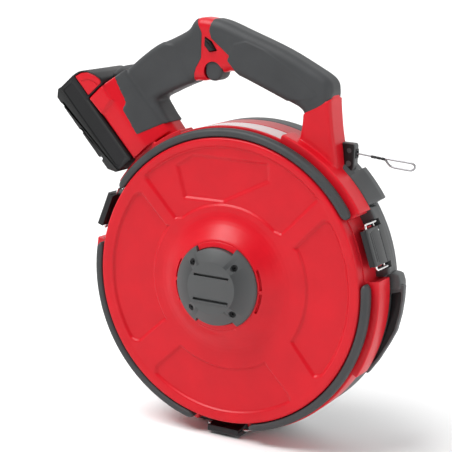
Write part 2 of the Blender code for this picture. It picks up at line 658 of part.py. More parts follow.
def arm_outline():
    """Dark grip between the battery foot and the head."""
    beyond = [(-60, 300), (-120, 280), (-164, 231), (-97, 189), (-64, 200)]
    return millimetres(HEAD_LEFT + beyond)


def battery_foot(front, back):
    """Foot that the pack slides onto: as wide as the pack at its seat, narrow at the arm."""
    middle = (PACK_FRONT_Y + PACK_BACK_Y) / 2
    seat = PACK_SEAT_N - GAP
    sections = []
    for u in (PACK_BOTTOM_U, FOOT_END_U):
        outline = [(seat, middle - 36 * MM), (-14 * MM, middle - 36 * MM), (-40 * MM, middle - 18 * MM),
                   (-40 * MM, middle + 18 * MM), (-14 * MM, middle + 36 * MM), (seat, middle + 36 * MM)]
        section = []
        for n, y in outline:
            section.append(Vector((u, min(max(y, front), back), n)))
        sections.append(section)
    return moved(stacked(sections), pack_matrix())


def make_handle_half(name, side, look, reel):
    """One half of the handle's clamshell; side is -1 for the front half and 1 for the rear."""
    full = handle_outline()
    parting = SEAM_Y + side * GAP / 2
    core = inset(full, GRIP_SKIN)
    face = HANDLE_FRONT_Y if side < 0 else HANDLE_BACK_Y
    core_face = face - side * GRIP_SKIN * 1.5

    def slab(outline, depth, edge):
        if side < 0:
            return rounded_prism(outline, depth, parting, edge, 0)
        return rounded_prism(outline, parting, depth, 0, edge)

    half = add_object(name, slab(core, core_face, 3 * MM), look, reel)
    leg = right_leg_arc() + millimetres([(106, 165), (107, 195), (104, 210), (69, 190)])
    left_leg = left_leg_arc() + millimetres([(-97, 189), (-148, 221), (-172, 196), (-130, 128)])
    head = millimetres(HEAD_LEFT + HEAD_RIGHT + [(-50, 214)])
    solids = [slab(leg, face, 6 * MM), slab(left_leg, face, 4 * MM), slab(head, face, 3 * MM)]
    if side < 0:
        solids.append(battery_foot(-1, parting))
        solids.append(collar_section(32.4, 72))
        solids.append(collar_section(114, 147.6, COLLAR_R - 2 * MM))
    else:
        solids.append(battery_foot(parting, 1))
        saddle = [(REAR_R + GAP, parting), (172 * MM, parting), (172 * MM, 74 * MM - GAP),
                  (REAR_R + GAP, 74 * MM - GAP)]
        solids.append(turned(saddle, 16, 53.2, 140))
        web = [(171 * MM, parting), (173.5 * MM, parting), (173.5 * MM, 60 * MM), (171 * MM, 60 * MM)]
        solids.append(turned(web, 14, 54, 137))
    boolean(half, "UNION", "outside", solids, overlapping=True)
    room = []
    cavity = inset(full, GRIP_SKIN + SHELL_WALL)
    cavity_face = core_face - side * SHELL_WALL
    room.append(prism(cavity, min(cavity_face, parting + side * -MM), max(cavity_face, parting + side * -MM)))
    middle = (PACK_FRONT_Y + PACK_BACK_Y) / 2
    channel = box((170 * MM, middle - 21 * MM, 3.2 * MM), (280 * MM, middle + 21 * MM, 20 * MM))
    room.append(moved(channel, pack_matrix()))
    terminal = box((228 * MM, middle - 14 * MM, -10 * MM), (262 * MM, middle + 14 * MM, 5 * MM))
    room.append(moved(terminal, pack_matrix()))
    trigger_room = arc(11.4 * MM, 180, 360, 8, (-40 * MM, 226 * MM)) + [(-28.6 * MM, 246 * MM),
                                                                     (-51.4 * MM, 246 * MM)]
    room.append(prism(trigger_room, 33 * MM, 55 * MM))
    room.append(prism(inset(shuttle_outline(), -0.6 * MM), 20 * MM, 70 * MM))
    room.append(box((82 * MM, TAPE_Y - 4 * MM, 147 * MM), (112 * MM, TAPE_Y + 4 * MM, 157 * MM)))
    boolean(half, "DIFFERENCE", "inside", room, overlapping=True)


def make_grips(look, reel):
    """Rubber sleeves moulded round the handle's core."""
    sleeve_room = inset(handle_outline(), GRIP_SKIN - GAP)
    inner_front = HANDLE_FRONT_Y + GRIP_SKIN * 1.5 - GAP
    inner_back = HANDLE_BACK_Y - GRIP_SKIN * 1.5 + GAP
    for name, outline in (("grip_sleeve", grip_outline()), ("arm_sleeve", arm_outline())):
        body = rounded_prism(handle_outline(), HANDLE_FRONT_Y, HANDLE_BACK_Y, 8 * MM, 8 * MM)
        sleeve = add_object(name, body, look, reel)
        boolean(sleeve, "INTERSECT", "region", [prism(inset(outline, GAP), 0, 90 * MM)])
        boolean(sleeve, "DIFFERENCE", "core", [prism(sleeve_room, inner_front, inner_back)])


def shuttle_outline():
    return millimetres([(-50, 262), (-50, 254), (-44, 248), (-37, 250), (-43, 258)])


def make_controls(dark, black, steel, board_look, reel):
    """Trigger, its return spring, the switch, the direction shuttle and the control board."""
    trigger = arc(10.5 * MM, 180, 360, 10, (-40 * MM, 226 * MM)) + [(-29.5 * MM, 238 * MM),
                                                                   (-50.5 * MM, 238 * MM)]
    add_object("trigger", rounded_prism(trigger, 34 * MM, 54 * MM, 1.5 * MM, 1.5 * MM), dark, reel)
    points = []
    turns, steps, bottom, top = 4, 8, 239.2 * MM, 245.8 * MM
    for index in range(turns * steps + 1):
        angle = 2 * math.pi * index / steps
        height = bottom + (top - bottom) * index / (turns * steps)
        points.append(Vector((-34 * MM + 3 * MM * math.cos(angle), SEAM_Y + 3 * MM * math.sin(angle), height)))
    add_object("trigger_spring", wire(points, 0.5 * MM, 4, (0, 0, 1)), steel, reel)
    switch = box((-35.5 * MM, 37 * MM, 246.6 * MM), (-14 * MM, 51 * MM, 260 * MM))
    add_object("trigger_switch", switch, black, reel)
    add_object("direction_shuttle", prism(shuttle_outline(), 25 * MM, 65 * MM), dark, reel)
    board = box((186 * MM, SEAM_Y + MM, -26 * MM), (224 * MM, SEAM_Y + 2.6 * MM, -12 * MM))
    add_object("control_board", moved(board, pack_matrix()), board_look, reel)


# ---- Battery pack -------------------------------------------------------------------------
def pack_prism(outline, front, back):
    return moved(prism(outline, front, back), pack_matrix())


def button_outline():
    return millimetres([(265.8, 8.6), (265.8, -14.5), (270, -15.8), (278, -13), (286, -8), (291, -1), (293, 8.6)])


def make_pack(black, dark, red, steel, reel):
    middle = (PACK_FRONT_Y + PACK_BACK_Y) / 2
    split = (PACK_SEAT_N + PACK_OUTER_N) / 2
    lower = [(PACK_BOTTOM_U, split + GAP / 2), (PACK_TOP_U, split + GAP / 2), (PACK_TOP_U, 35 * MM),
             (289 * MM, PACK_OUTER_N), (187 * MM, PACK_OUTER_N), (PACK_BOTTOM_U + 2 * MM, 36 * MM)]
    case = add_object("pack_lower_case", pack_prism(lower, PACK_FRONT_Y, PACK_BACK_Y), black, reel)
    hollow = box((179 * MM, PACK_FRONT_Y + 2.5 * MM, split - MM), (293 * MM, PACK_BACK_Y - 2.5 * MM, 38 * MM))
    boolean(case, "DIFFERENCE", "hollow", [moved(hollow, pack_matrix())])
    seat = PACK_SEAT_N
    head_start = FOOT_END_U + 0.5 * MM
    upper = [(PACK_BOTTOM_U, seat), (head_start, seat), (head_start, -16 * MM), (270 * MM, -18 * MM),
             (280 * MM, -14.5 * MM), (289 * MM, -8 * MM), (294 * MM, 0), (PACK_TOP_U, 9 * MM),
             (PACK_TOP_U, split - GAP / 2), (PACK_BOTTOM_U, split - GAP / 2)]
    case = add_object("pack_upper_case", pack_prism(upper, PACK_FRONT_Y, PACK_BACK_Y), black, reel)
    rails = []
    for side in (-1, 1):
        low = min(side * 7 * MM, side * 20 * MM)
        rail = box((180 * MM, middle + low, 3.6 * MM), (head_start + MM, middle + low + 13 * MM, 12 * MM))
        rails.append(moved(rail, pack_matrix()))
    boolean(case, "UNION", "rails", rails)
    cuts = [moved(box((179 * MM, PACK_FRONT_Y + 2.5 * MM, 16.5 * MM),
                      (293 * MM, PACK_BACK_Y - 2.5 * MM, split + MM)), pack_matrix())]
    button_room = inset(button_outline(), -0.5 * MM)
    cuts.append(pack_prism(button_room, PACK_FRONT_Y - MM, PACK_FRONT_Y + 8 * MM))
    cuts.append(pack_prism(button_room, PACK_BACK_Y - 8 * MM, PACK_BACK_Y + MM))
    boolean(case, "DIFFERENCE", "hollows", cuts)
    for name, front in (("front", PACK_FRONT_Y + 0.2 * MM), ("back", PACK_BACK_Y - 5.2 * MM)):
        button = pack_prism(button_outline(), front, front + 5 * MM)
        add_object("pack_button_" + name, button, red, reel)
    for index in range(CELL_COUNT):
        centre = (191 * MM + index * 19.4 * MM + 6 * MM, split)
        cell = pack_cylinder(centre, CELL_R, middle - 32.5 * MM, middle + 32.5 * MM)
        add_object(f"pack_cell_{index + 1}", cell, steel, reel)
    block = box((231 * MM, middle - 12 * MM, -8 * MM), (260 * MM, middle + 12 * MM, 2.9 * MM))
    terminal = add_object("terminal_block", moved(block, pack_matrix()), dark, reel)
    tongue = box((235 * MM, middle - 5 * MM, 0), (256 * MM, middle + 5 * MM, 9.6 * MM))
    boolean(terminal, "UNION", "tongue", [moved(tongue, pack_matrix())])


def pack_cylinder(centre, radius, front, back):
    return moved(cylinder(centre, radius, front, back, 16), pack_matrix())


def build():
    clear_scene()
    red = material("red_plastic", (0.62, 0.012, 0.022), 0.38)
    grey = material("grey_plastic", (0.085, 0.088, 0.09), 0.5)
    rubber = material("rubber", (0.035, 0.035, 0.036), 0.7)
    black = material("black_plastic", (0.012, 0.012, 0.013), 0.45)
    steel = material("steel", (0.55, 0.55, 0.56), 0.28, 1.0)
    board = material("board", (0.02, 0.12, 0.05), 0.5)
    reel = add_empty("reel_frame", (0, -FOOT_CENTRE_Y, AXIS_HEIGHT))
    make_front_cover(red, reel)
    make_hub_cap(grey, reel)
    make_hub_screws(black, reel)
    make_bumpers(rubber, reel)
    make_lower_collars(red, reel)
    make_rear_housing(grey, reel)
    make_side_feet(grey, rubber, reel)
    make_base_foot(rubber, reel)
    make_drum(black, steel, reel)
    make_drive(steel, grey, reel)
    make_nozzle(black, grey, reel)
    make_tape_end(steel, black, reel)
    for name, angle in LATCH_ANGLES.items():
        make_latch(name, angle, grey, steel, reel)
    make_handle_half("handle_front", -1, red, reel)
    make_handle_half("handle_rear", 1, red, reel)
    make_grips(rubber, reel)
    make_controls(grey, black, steel, board, reel)
    make_pack(black, grey, red, steel, reel)


build()
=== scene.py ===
"""Looks of the fish tape reel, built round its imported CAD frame.

Shapes are written in millimetres in the reel frame: the drum axis runs along Y through the
origin, Y = 0 is the front rim, +Y runs to the back and +Z is up. TO_ROW takes them to the
frame's metres.
"""
import json
import math

import bmesh
import bpy
import numpy as np
from mathutils import Matrix, Vector


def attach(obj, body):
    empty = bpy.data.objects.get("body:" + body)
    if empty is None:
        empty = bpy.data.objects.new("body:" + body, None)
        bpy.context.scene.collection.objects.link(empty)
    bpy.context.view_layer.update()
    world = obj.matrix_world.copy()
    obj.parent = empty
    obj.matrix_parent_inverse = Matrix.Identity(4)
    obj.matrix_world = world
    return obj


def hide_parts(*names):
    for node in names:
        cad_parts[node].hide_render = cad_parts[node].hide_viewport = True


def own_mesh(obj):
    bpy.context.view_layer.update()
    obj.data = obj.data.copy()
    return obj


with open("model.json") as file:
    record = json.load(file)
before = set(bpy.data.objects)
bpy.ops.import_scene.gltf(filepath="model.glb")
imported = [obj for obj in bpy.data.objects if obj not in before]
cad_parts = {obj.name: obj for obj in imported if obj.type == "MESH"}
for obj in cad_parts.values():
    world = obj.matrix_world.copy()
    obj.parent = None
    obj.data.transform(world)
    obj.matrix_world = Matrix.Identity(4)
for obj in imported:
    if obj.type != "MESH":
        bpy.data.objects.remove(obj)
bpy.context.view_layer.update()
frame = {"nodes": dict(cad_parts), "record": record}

FOOT_CENTRE_Y = 81
AXIS_HEIGHT = 180
SEAM_Y = 44
RIM_R = 160
BAND_R = 171.5
COLLAR_R = 177
HANDLE_FRONT = 27.5
HANDLE_BACK = 62.5
LATCHES = {"right": 20, "left": 160, "bottom": 270}
LATCH_HALF_GAP = 12
REAR_SCREW_ANGLES = (12, 60, 150, 195, 240, 300, 345)
REAR_SCREW_R = 146
PACK_ANGLE = 133.1
PACK_FRONT = 7
PACK_BACK = 83
TAPE_Y = 56

TO_ROW = Matrix.Scale(0.001, 4) @ Matrix.Translation((0, -FOOT_CENTRE_Y, AXIS_HEIGHT))

HANDLE_OUTSIDE = [(112.5, 141), (110.5, 155), (107, 172), (104, 192), (102.5, 206), (102.5, 216),
                  (100.8, 224.5),
                  (95, 231), (80, 239), (43, 256),
                  (-6, 273), (-30, 281), (-49, 284), (-61, 284), (-68, 279), (-74, 270), (-87, 262),
                  (-113, 249), (-132, 235), (-148, 221), (-172, 196), (-130, 128)]
HEAD_LEFT = [(-64, 213), (-61, 228), (-54.5, 240), (-55, 268), (-67, 290)]
HEAD_RIGHT = [(-42, 290), (-46, 270), (-43, 262), (-31, 253), (-18, 243), (-14, 227)]
GRIP_PAD = [(-22, 240), (-14, 258), (0, 261.5), (22, 254.5), (50, 239), (78, 221), (86, 212), (81, 207),
            (66, 205),
            (40, 200), (-5, 215), (-12, 228)]
FINGER_OPENING = [(-111, 187), (-101, 195), (-64, 212.5), (-50, 214), (-22, 227), (-9, 224),
                  (21, 213), (48, 202.5), (66, 195), (70.5, 188)]


# ---- Node materials -----------------------------------------------------------------------
def node(tree, kind, **values):
    made = tree.nodes.new(kind)
    for name, value in values.items():
        if name.startswith("in_"):
            made.inputs[name[3:].replace("_", " ")].default_value = value
        else:
            setattr(made, name, value)
    return made


def new_material(name):
    made = bpy.data.materials.new(name)
    made.use_nodes = True
    return made, made.node_tree, made.node_tree.nodes["Principled BSDF"]


def moulded(name, colour, variation, roughness, grain, bump, coat=0.0, specular=0.5, metallic=0.0,
            edge_highlight=None):
    """Moulded plastic or rubber: cloudy colour, grain in the surface and uneven gloss.
    The last argument is the colour of a painted highlight laid on convex edges."""
    made, tree, shader = new_material(name)
    link = tree.links.new
    place = node(tree, "ShaderNodeTexCoord")
    clouds = node(tree, "ShaderNodeTexNoise", in_Scale=34.0, in_Detail=3.0, in_Roughness=0.55)
    link(place.outputs["Object"], clouds.inputs["Vector"])
    shades = node(tree, "ShaderNodeValToRGB")
    shades.color_ramp.elements[0].position = 0.3
    shades.color_ramp.elements[1].position = 0.72
    shades.color_ramp.elements[0].color = (*[c * (1 - variation) for c in colour], 1)
    shades.color_ramp.elements[1].color = (*[min(c * (1 + variation), 1) for c in colour], 1)
    link(clouds.outputs["Fac"], shades.inputs["Fac"])
    tone = shades.outputs["Color"]
    # Painted highlight: convex edges, found by pointiness, are mixed towards a lighter colour.
    if edge_highlight:
        shape = node(tree, "ShaderNodeNewGeometry")
        edge = node(tree, "ShaderNodeMapRange", in_From_Min=0.52, in_From_Max=0.62, in_To_Max=0.35)
        link(shape.outputs["Pointiness"], edge.inputs["Value"])
        mix = node(tree, "ShaderNodeMix", data_type="RGBA")
        link(edge.outputs["Result"], mix.inputs["Factor"])
        link(tone, mix.inputs["A"])
        mix.inputs["B"].default_value = (*edge_highlight, 1)
        tone = mix.outputs["Result"]
    link(tone, shader.inputs["Base Color"])
    pores = node(tree, "ShaderNodeTexNoise", in_Scale=grain, in_Detail=2.0, in_Roughness=0.6)
    link(place.outputs["Object"], pores.inputs["Vector"])
    gloss = node(tree, "ShaderNodeMapRange", in_To_Min=roughness - 0.05, in_To_Max=roughness + 0.06)
    link(pores.outputs["Fac"], gloss.inputs["Value"])
    link(gloss.outputs["Result"], shader.inputs["Roughness"])
    relief = node(tree, "ShaderNodeBump", in_Strength=bump, in_Distance=0.0003)
    link(pores.outputs["Fac"], relief.inputs["Height"])
    link(relief.outputs["Normal"], shader.inputs["Normal"])
    shader.inputs["Metallic"].default_value = metallic
    shader.inputs["Coat Weight"].default_value = coat
    shader.inputs["Coat Roughness"].default_value = 0.22
    shader.inputs["Specular IOR Level"].default_value = specular
    return made


def steel(name, colour, roughness, streak):
    """Drawn or rolled steel with fine streaks along the row's Y axis."""
    made, tree, shader = new_material(name)
    link = tree.links.new
    place = node(tree, "ShaderNodeTexCoord")
    stretch = node(tree, "ShaderNodeMapping", in_Scale=(900, 60, 900))
    link(place.outputs["Object"], stretch.inputs["Vector"])
    lines = node(tree, "ShaderNodeTexNoise", in_Scale=1.0, in_Detail=4.0)
    link(stretch.outputs["Vector"], lines.inputs["Vector"])
    shades = node(tree, "ShaderNodeValToRGB")
    shades.color_ramp.elements[0].color = (*[c * (1 - streak) for c in colour], 1)
    shades.color_ramp.elements[1].color = (*[min(1, c * (1 + streak)) for c in colour], 1)
    link(lines.outputs["Fac"], shades.inputs["Fac"])
    link(shades.outputs["Color"], shader.inputs["Base Color"])
    gloss = node(tree, "ShaderNodeMapRange", in_To_Min=roughness - 0.08, in_To_Max=roughness + 0.1)
    link(lines.outputs["Fac"], gloss.inputs["Value"])
    link(gloss.outputs["Result"], shader.inputs["Roughness"])
    shader.inputs["Metallic"].default_value = 1.0
    return made


# The last colour given to each material is its painted edge highlight.
RED = moulded("red_moulded", (0.55, 0.0045, 0.013), 0.05, 0.36, 1500.0, 0.08, coat=0.06, specular=0.22,
              edge_highlight=(0.80, 0.06, 0.08))
GREY = moulded("grey_moulded", (0.060, 0.063, 0.065), 0.08, 0.50, 1300.0, 0.22, edge_highlight=(0.16, 0.165, 0.165))
DARK_GREY = moulded("hub_grey_moulded", (0.024, 0.0255, 0.027), 0.08, 0.47, 1300.0, 0.2,
                    edge_highlight=(0.12, 0.125, 0.125))
RUBBER = moulded("soft_overmould", (0.034, 0.036, 0.038), 0.10, 0.56, 900.0, 0.35, specular=0.4,
                 edge_highlight=(0.11, 0.113, 0.115))
BLACK = moulded("black_moulded", (0.006, 0.006, 0.007), 0.14, 0.45, 1400.0, 0.15, specular=0.3,
                edge_highlight=(0.03, 0.03, 0.032))
PACK_GUARD = moulded("pack_guard_rubber", (0.012, 0.0125, 0.0125), 0.12, 0.5, 900.0, 0.3, specular=0.35,
                     edge_highlight=(0.05, 0.052, 0.05))
PANEL = moulded("pack_panel_gloss", (0.005, 0.005, 0.006), 0.2, 0.34, 900.0, 0.03, specular=0.3)
FILM = moulded("blank_label_film", (0.44, 0.29, 0.29), 0.05, 0.24, 300.0, 0.02, coat=0.5)
BRIGHT = steel("bright_wire", (0.72, 0.72, 0.72), 0.26, 0.12)
TAPE_STEEL = steel("tempered_tape_steel", (0.34, 0.34, 0.35), 0.38, 0.2)
WRAP = moulded("cell_wrap_film", (0.05, 0.16, 0.3), 0.06, 0.35, 600.0, 0.05)
BOARD = moulded("coated_board", (0.02, 0.12, 0.05), 0.15, 0.4, 700.0, 0.1)
BY_SLOT = {"red_plastic": RED, "grey_plastic": GREY, "grip_rubber": RUBBER, "black_plastic": BLACK,
           "bright_steel": BRIGHT, "spring_steel": TAPE_STEEL, "cell_wrap": WRAP, "board_green": BOARD}


def dress_cad_nodes():
    """Every carried CAD node takes the node material of its slot in the record."""
    for row in frame["record"]["subparts"]:
        mesh = frame["nodes"][row["node"]].data
        mesh.materials.clear()
        mesh.materials.append(BY_SLOT[row["material_slot"]])


# ---- Shapes: each returns a bmesh in millimetres -------------------------------------------
def polar(radius, degrees, y=0.0):
    angle = math.radians(degrees)
    return Vector((radius * math.cos(angle), y, radius * math.sin(angle)))


def arc(radius, start, end, steps, centre=(0, 0)):
    points = []
    for index in range(steps + 1):
        angle = math.radians(start + (end - start) * index / steps)
        points.append((centre[0] + radius * math.cos(angle), centre[1] + radius * math.sin(angle)))
    return points


def loft(sections, closed=False):
    """Join sections with equal numbers of points; the two ends are capped unless it closes."""
    shape = bmesh.new()
    rings = [[shape.verts.new(point) for point in section] for section in sections]
    pairs = list(zip(rings, rings[1:]))
    if closed:
        pairs.append((rings[-1], rings[0]))
    for near, far in pairs:
        for corner in range(len(near)):
            following = (corner + 1) % len(near)
            shape.faces.new((near[corner], near[following], far[following], far[corner]))
    if not closed:
        shape.faces.new(rings[0])
        shape.faces.new(rings[-1])
    bmesh.ops.recalc_face_normals(shape, faces=shape.faces)
    return shape


def round_corners(profile, radius, steps=3):
    """Replace each corner of a closed profile by a short arc-like run of points."""
    made = []
    count = len(profile)
    for index in range(count):
        here = Vector(profile[index])
        before = Vector(profile[index - 1])
        after = Vector(profile[(index + 1) % count])
        cut = min(radius, (here - before).length * 0.45, (after - here).length * 0.45)
        start = here + (before - here).normalized() * cut
        end = here + (after - here).normalized() * cut
        for step in range(steps + 1):
            t = step / steps
            made.append(tuple(start * (1 - t) ** 2 + here * 2 * t * (1 - t) + end * t * t))
    return made


def turned(profile, start=0, end=360, pitch=2.0, edge=0.0):
    """Turn a closed (radius, y) profile about the drum axis; edge rounds its corners."""
    if edge:
        profile = round_corners(profile, edge)
    whole = end - start >= 360
    steps = max(2, round((end - start) / pitch))
    sections = []
    for index in range(steps if whole else steps + 1):
        angle = start + (end - start) * index / steps
        sections.append([polar(radius, angle, y) for radius, y in profile])
    return loft(sections, closed=whole)


def prism(outline, front, back):
    return loft([[Vector((x, y, z)) for x, z in outline] for y in (front, back)])


def box(low, high):
    corners = [(low[0], low[2]), (high[0], low[2]), (high[0], high[2]), (low[0], high[2])]
    return prism(corners, low[1], high[1])


def signed_area(outline):
    return sum(x0 * z1 - x1 * z0 for (x0, z0), (x1, z1) in zip(outline, outline[1:] + outline[:1])) / 2


def inset(outline, distance):
    """Move every side of an outline inwards; a negative distance moves it outwards."""
    turn = 1 if signed_area(outline) > 0 else -1
    made = []
    for index, corner in enumerate(outline):
        here = Vector(corner)
        before = (here - Vector(outline[index - 1])).normalized()
        after = (Vector(outline[(index + 1) % len(outline)]) - here).normalized()
        normal = (Vector((-before.y, before.x)) + Vector((-after.y, after.x))).normalized() * turn
        square = Vector((-after.y, after.x)) * turn
        stretch = min(1 / max(normal.dot(square), 0.1), 1.6)
        made.append(tuple(here + normal * distance * stretch))
    return made


def flowing(points, per=4):
    """A smooth closed curve through the points, with per points for every one given."""
    made = []
    count = len(points)
    for index in range(count):
        p0, p1, p2, p3 = [Vector(points[(index + k) % count]) for k in (-1, 0, 1, 2)]
        before = (p1 - p0).length
        span = (p2 - p1).length
        after = (p3 - p2).length
        m1 = (p2 - p0) * span / max(before + span, 1e-6)
        m2 = (p3 - p1) * span / max(span + after, 1e-6)
        for step in range(per):
            t = step / per
            t2, t3 = t * t, t ** 3
            made.append(tuple(p1 * (2 * t3 - 3 * t2 + 1) + m1 * (t3 - 2 * t2 + t)
                              + p2 * (3 * t2 - 2 * t3) + m2 * (t3 - t2)))
    return made


def slab(outline, front, back, front_edge=0.0, back_edge=0.0, levels=6, smooth=0):
    """A prism along Y whose front and back edges are rounded; smooth makes its sides flow."""
    rows = []
    quarter = [math.pi / 2 * index / levels for index in range(levels + 1)]
    for turn in quarter if front_edge else quarter[-1:]:
        rows.append((front + front_edge * (1 - math.cos(turn)), front_edge * (1 - math.sin(turn))))
    for turn in reversed(quarter) if back_edge else quarter[-1:]:
        rows.append((back - back_edge * (1 - math.cos(turn)), back_edge * (1 - math.sin(turn))))
    sections = []
    for y, sink in rows:
        line = inset(outline, sink) if sink else outline
        if smooth:
            line = flowing(line, smooth)
        sections.append([Vector((x, y, z)) for x, z in line])
    return loft(sections)


def moved(shape, matrix):
    bmesh.ops.transform(shape, matrix=matrix, verts=shape.verts)
    return shape


def rod(centre, radius, front, back, sides=24):
    """A cylinder along Y about an XZ centre, with a small chamfer at both ends."""
    lip = min(radius * 0.15, 0.4)
    sections = []
    for y, r in ((front, radius - lip), (front + lip, radius), (back - lip, radius), (back, radius - lip)):
        sections.append([Vector((x, y, z)) for x, z in arc(r, 0, 360 - 360 / sides, sides - 1, centre)])
    return loft(sections)


def tube(points, radius, sides=12, closed=False):
    """A round wire through points; its ring is carried along without twisting."""
    points = [Vector(p) for p in points]
    count = len(points)
    side = None
    sections = []
    for index, point in enumerate(points):
        before = points[index - 1] if closed or index else point
        after = points[(index + 1) % count] if closed or index < count - 1 else point
        ahead = (after - before).normalized()
        if side is None:
            side = ahead.orthogonal()
        side = (side - ahead * side.dot(ahead)).normalized()
        other = ahead.cross(side)
        sections.append([point + side * radius * math.cos(2 * math.pi * step / sides)
                         + other * radius * math.sin(2 * math.pi * step / sides) for step in range(sides)])
    return loft(sections, closed=closed)


def joined(shapes):
    whole = bmesh.new()
    for shape in shapes:
        part = bpy.data.meshes.new("part")
        shape.to_mesh(part)
        shape.free()
        whole.from_mesh(part)
        bpy.data.meshes.remove(part)
    return whole


# ---- Pieces -------------------------------------------------------------------------------
def make_object(name, shape):
    mesh = bpy.data.meshes.new(name)
    shape.to_mesh(mesh)
    shape.free()
    made = bpy.data.objects.new(name, mesh)
    bpy.context.scene.collection.objects.link(made)
    return made


def settle(made):
    """Replace the object's mesh by the result of its modifiers."""
    bpy.context.view_layer.update()
    graph = bpy.context.evaluated_depsgraph_get()
    result = bpy.data.meshes.new_from_object(made.evaluated_get(graph))
    made.modifiers.clear()
    old = made.data
    made.data = result
    bpy.data.meshes.remove(old)


def boolean(made, operation, shape, overlapping=False):
    other = make_object("cutter", shape)
    modifier = made.modifiers.new("boolean", "BOOLEAN")
    modifier.operation = operation
    modifier.solver = "EXACT"
    modifier.use_self = overlapping
    modifier.object = other
    settle(made)
    mesh = other.data
    bpy.data.objects.remove(other)
    bpy.data.meshes.remove(mesh)


def piece(name, shape, look, body="case", replaced=(), cuts=(), fused=0.0, soften=0, bevel=0.0,
          segments=2, angle=35):
    """Make one visible piece. fused melts overlapping solids together at that voxel size and
    soften rounds what comes out; bevel rounds the edges of a plain solid instead."""
    made = make_object(name, shape)
    if fused:
        modifier = made.modifiers.new("fuse", "REMESH")
        modifier.mode = "VOXEL"
        modifier.voxel_size = fused
        if soften:
            modifier = made.modifiers.new("soften", "SMOOTH")
            modifier.factor = 0.5
            modifier.iterations = soften
        settle(made)
    for cut in cuts:
        boolean(made, "DIFFERENCE", cut)
    if bevel:
        modifier = made.modifiers.new("bevel", "BEVEL")
        modifier.width = bevel
        modifier.segments = segments
        modifier.limit_method = "ANGLE"
        modifier.angle_limit = math.radians(30)
        modifier.use_clamp_overlap = True
        settle(made)
    mesh = made.data
    mesh.transform(TO_ROW)
    mesh.shade_smooth()
    mesh.set_sharp_from_angle(angle=math.radians(angle))
    mesh.materials.clear()
    mesh.materials.append(look)
    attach(made, body)
    if replaced:
        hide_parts(*replaced)
    return made


def latch_matrix(angle):
    return Matrix.Rotation(math.radians(90 - angle), 4, "Y")


def pack_matrix():
    """Pack frame to reel frame: X is the way the pack slides off, Z points out through it."""
    angle = math.radians(PACK_ANGLE)
    along = Vector((math.cos(angle), 0, math.sin(angle)))
    matrix = Matrix.Identity(4)
    matrix.col[0][:3] = along
    matrix.col[1][:3] = (0, 1, 0)
    matrix.col[2][:3] = (-along.z, 0, along.x)
    return matrix


def latch_sectors():
    right, left, bottom = LATCHES["right"], LATCHES["left"], LATCHES["bottom"]
    half = LATCH_HALF_GAP
    return [(right + half, left - half), (left + half, bottom - half), (bottom + half, 360 + right - half)]


# ---- Front cover --------------------------------------------------------------------------
def panel_outlines():
    """Recessed panels on the cover: (outline, depth, width of the sloping wall)."""
    top = arc(152, 44.5, 134.5, 30) + [(-105, 102), (-66, 62)] + arc(85, 131, 49, 20) + [(66, 61.5)]
    right = ([(79, 50)] + [(112, 84.5), (115.5, 86)] + arc(148.5, 34.5, -35, 26)
             + [(115.5, -87.5), (111.5, -88), (81.5, -53)] + arc(97, -29, 29, 16))
    left = ([(-77, 56), (-110, 88), (-115, 87)] + arc(146.5, 145, 215, 26)
            + [(-113, -86.5), (-107, -86), (-77, -57)] + arc(90, 218, 142, 18))
    bottom = ([(-53, -79), (-86, -111), (-86, -117)] + arc(148.5, 234.5, 306, 26)
              + [(84, -112), (56, -84)] + arc(96, 304, 236, 16))
    mark_field = [(-69, 123.5), (-47.5, 138.5), (46.5, 139), (49, 117), (-7, 87.5), (-57, 86.5)]
    return [(top, 2.5, 2.6), (right, 2.8, 2.6), (left, 2.8, 2.6), (bottom, 2.4, 2.8), (mark_field, 2.4, 4.2)]


def depth_inside(x, z, outline):
    """Distance of each point inside an outline, and 0 outside it."""
    points = np.array(outline, float)
    nexts = np.roll(points, -1, axis=0)
    nearest = np.full(x.shape, 1e9)
    inside = np.zeros(x.shape, bool)
    for (x0, z0), (x1, z1) in zip(points, nexts):
        dx, dz = x1 - x0, z1 - z0
        t = np.clip(((x - x0) * dx + (z - z0) * dz) / max(dx * dx + dz * dz, 1e-9), 0, 1)
        nearest = np.minimum(nearest, np.hypot(x - x0 - t * dx, z - z0 - t * dz))
        if z0 != z1:
            crosses = ((z0 > z) != (z1 > z)) & (x < (x1 - x0) * (z - z0) / (z1 - z0) + x0)
            inside ^= crosses
    return np.where(inside, nearest, 0.0)


def smoothstep(value):
    t = np.clip(value, 0, 1)
    return t * t * (3 - 2 * t)


def cover_height(radius):
    """Front surface of the cover without its panels: hub ring, cone, flat face and raised rim."""
    stations = [40, 46, 50.2, 51.6, 55, 58.5, 62, 66, 70, 74, 79, 84, 149, 152.5, 156, 158.4, 159.4, 160]
    heights = [-16.2, -16.2, -16.5, -15.9, -12.9, -10, -7.5, -4.9, -2.8, -1.2, -0.1, 0.25, 0.25, -0.2,
               -0.45, -0.2, 0.6, 1.8]
    return np.interp(radius, stations, heights)


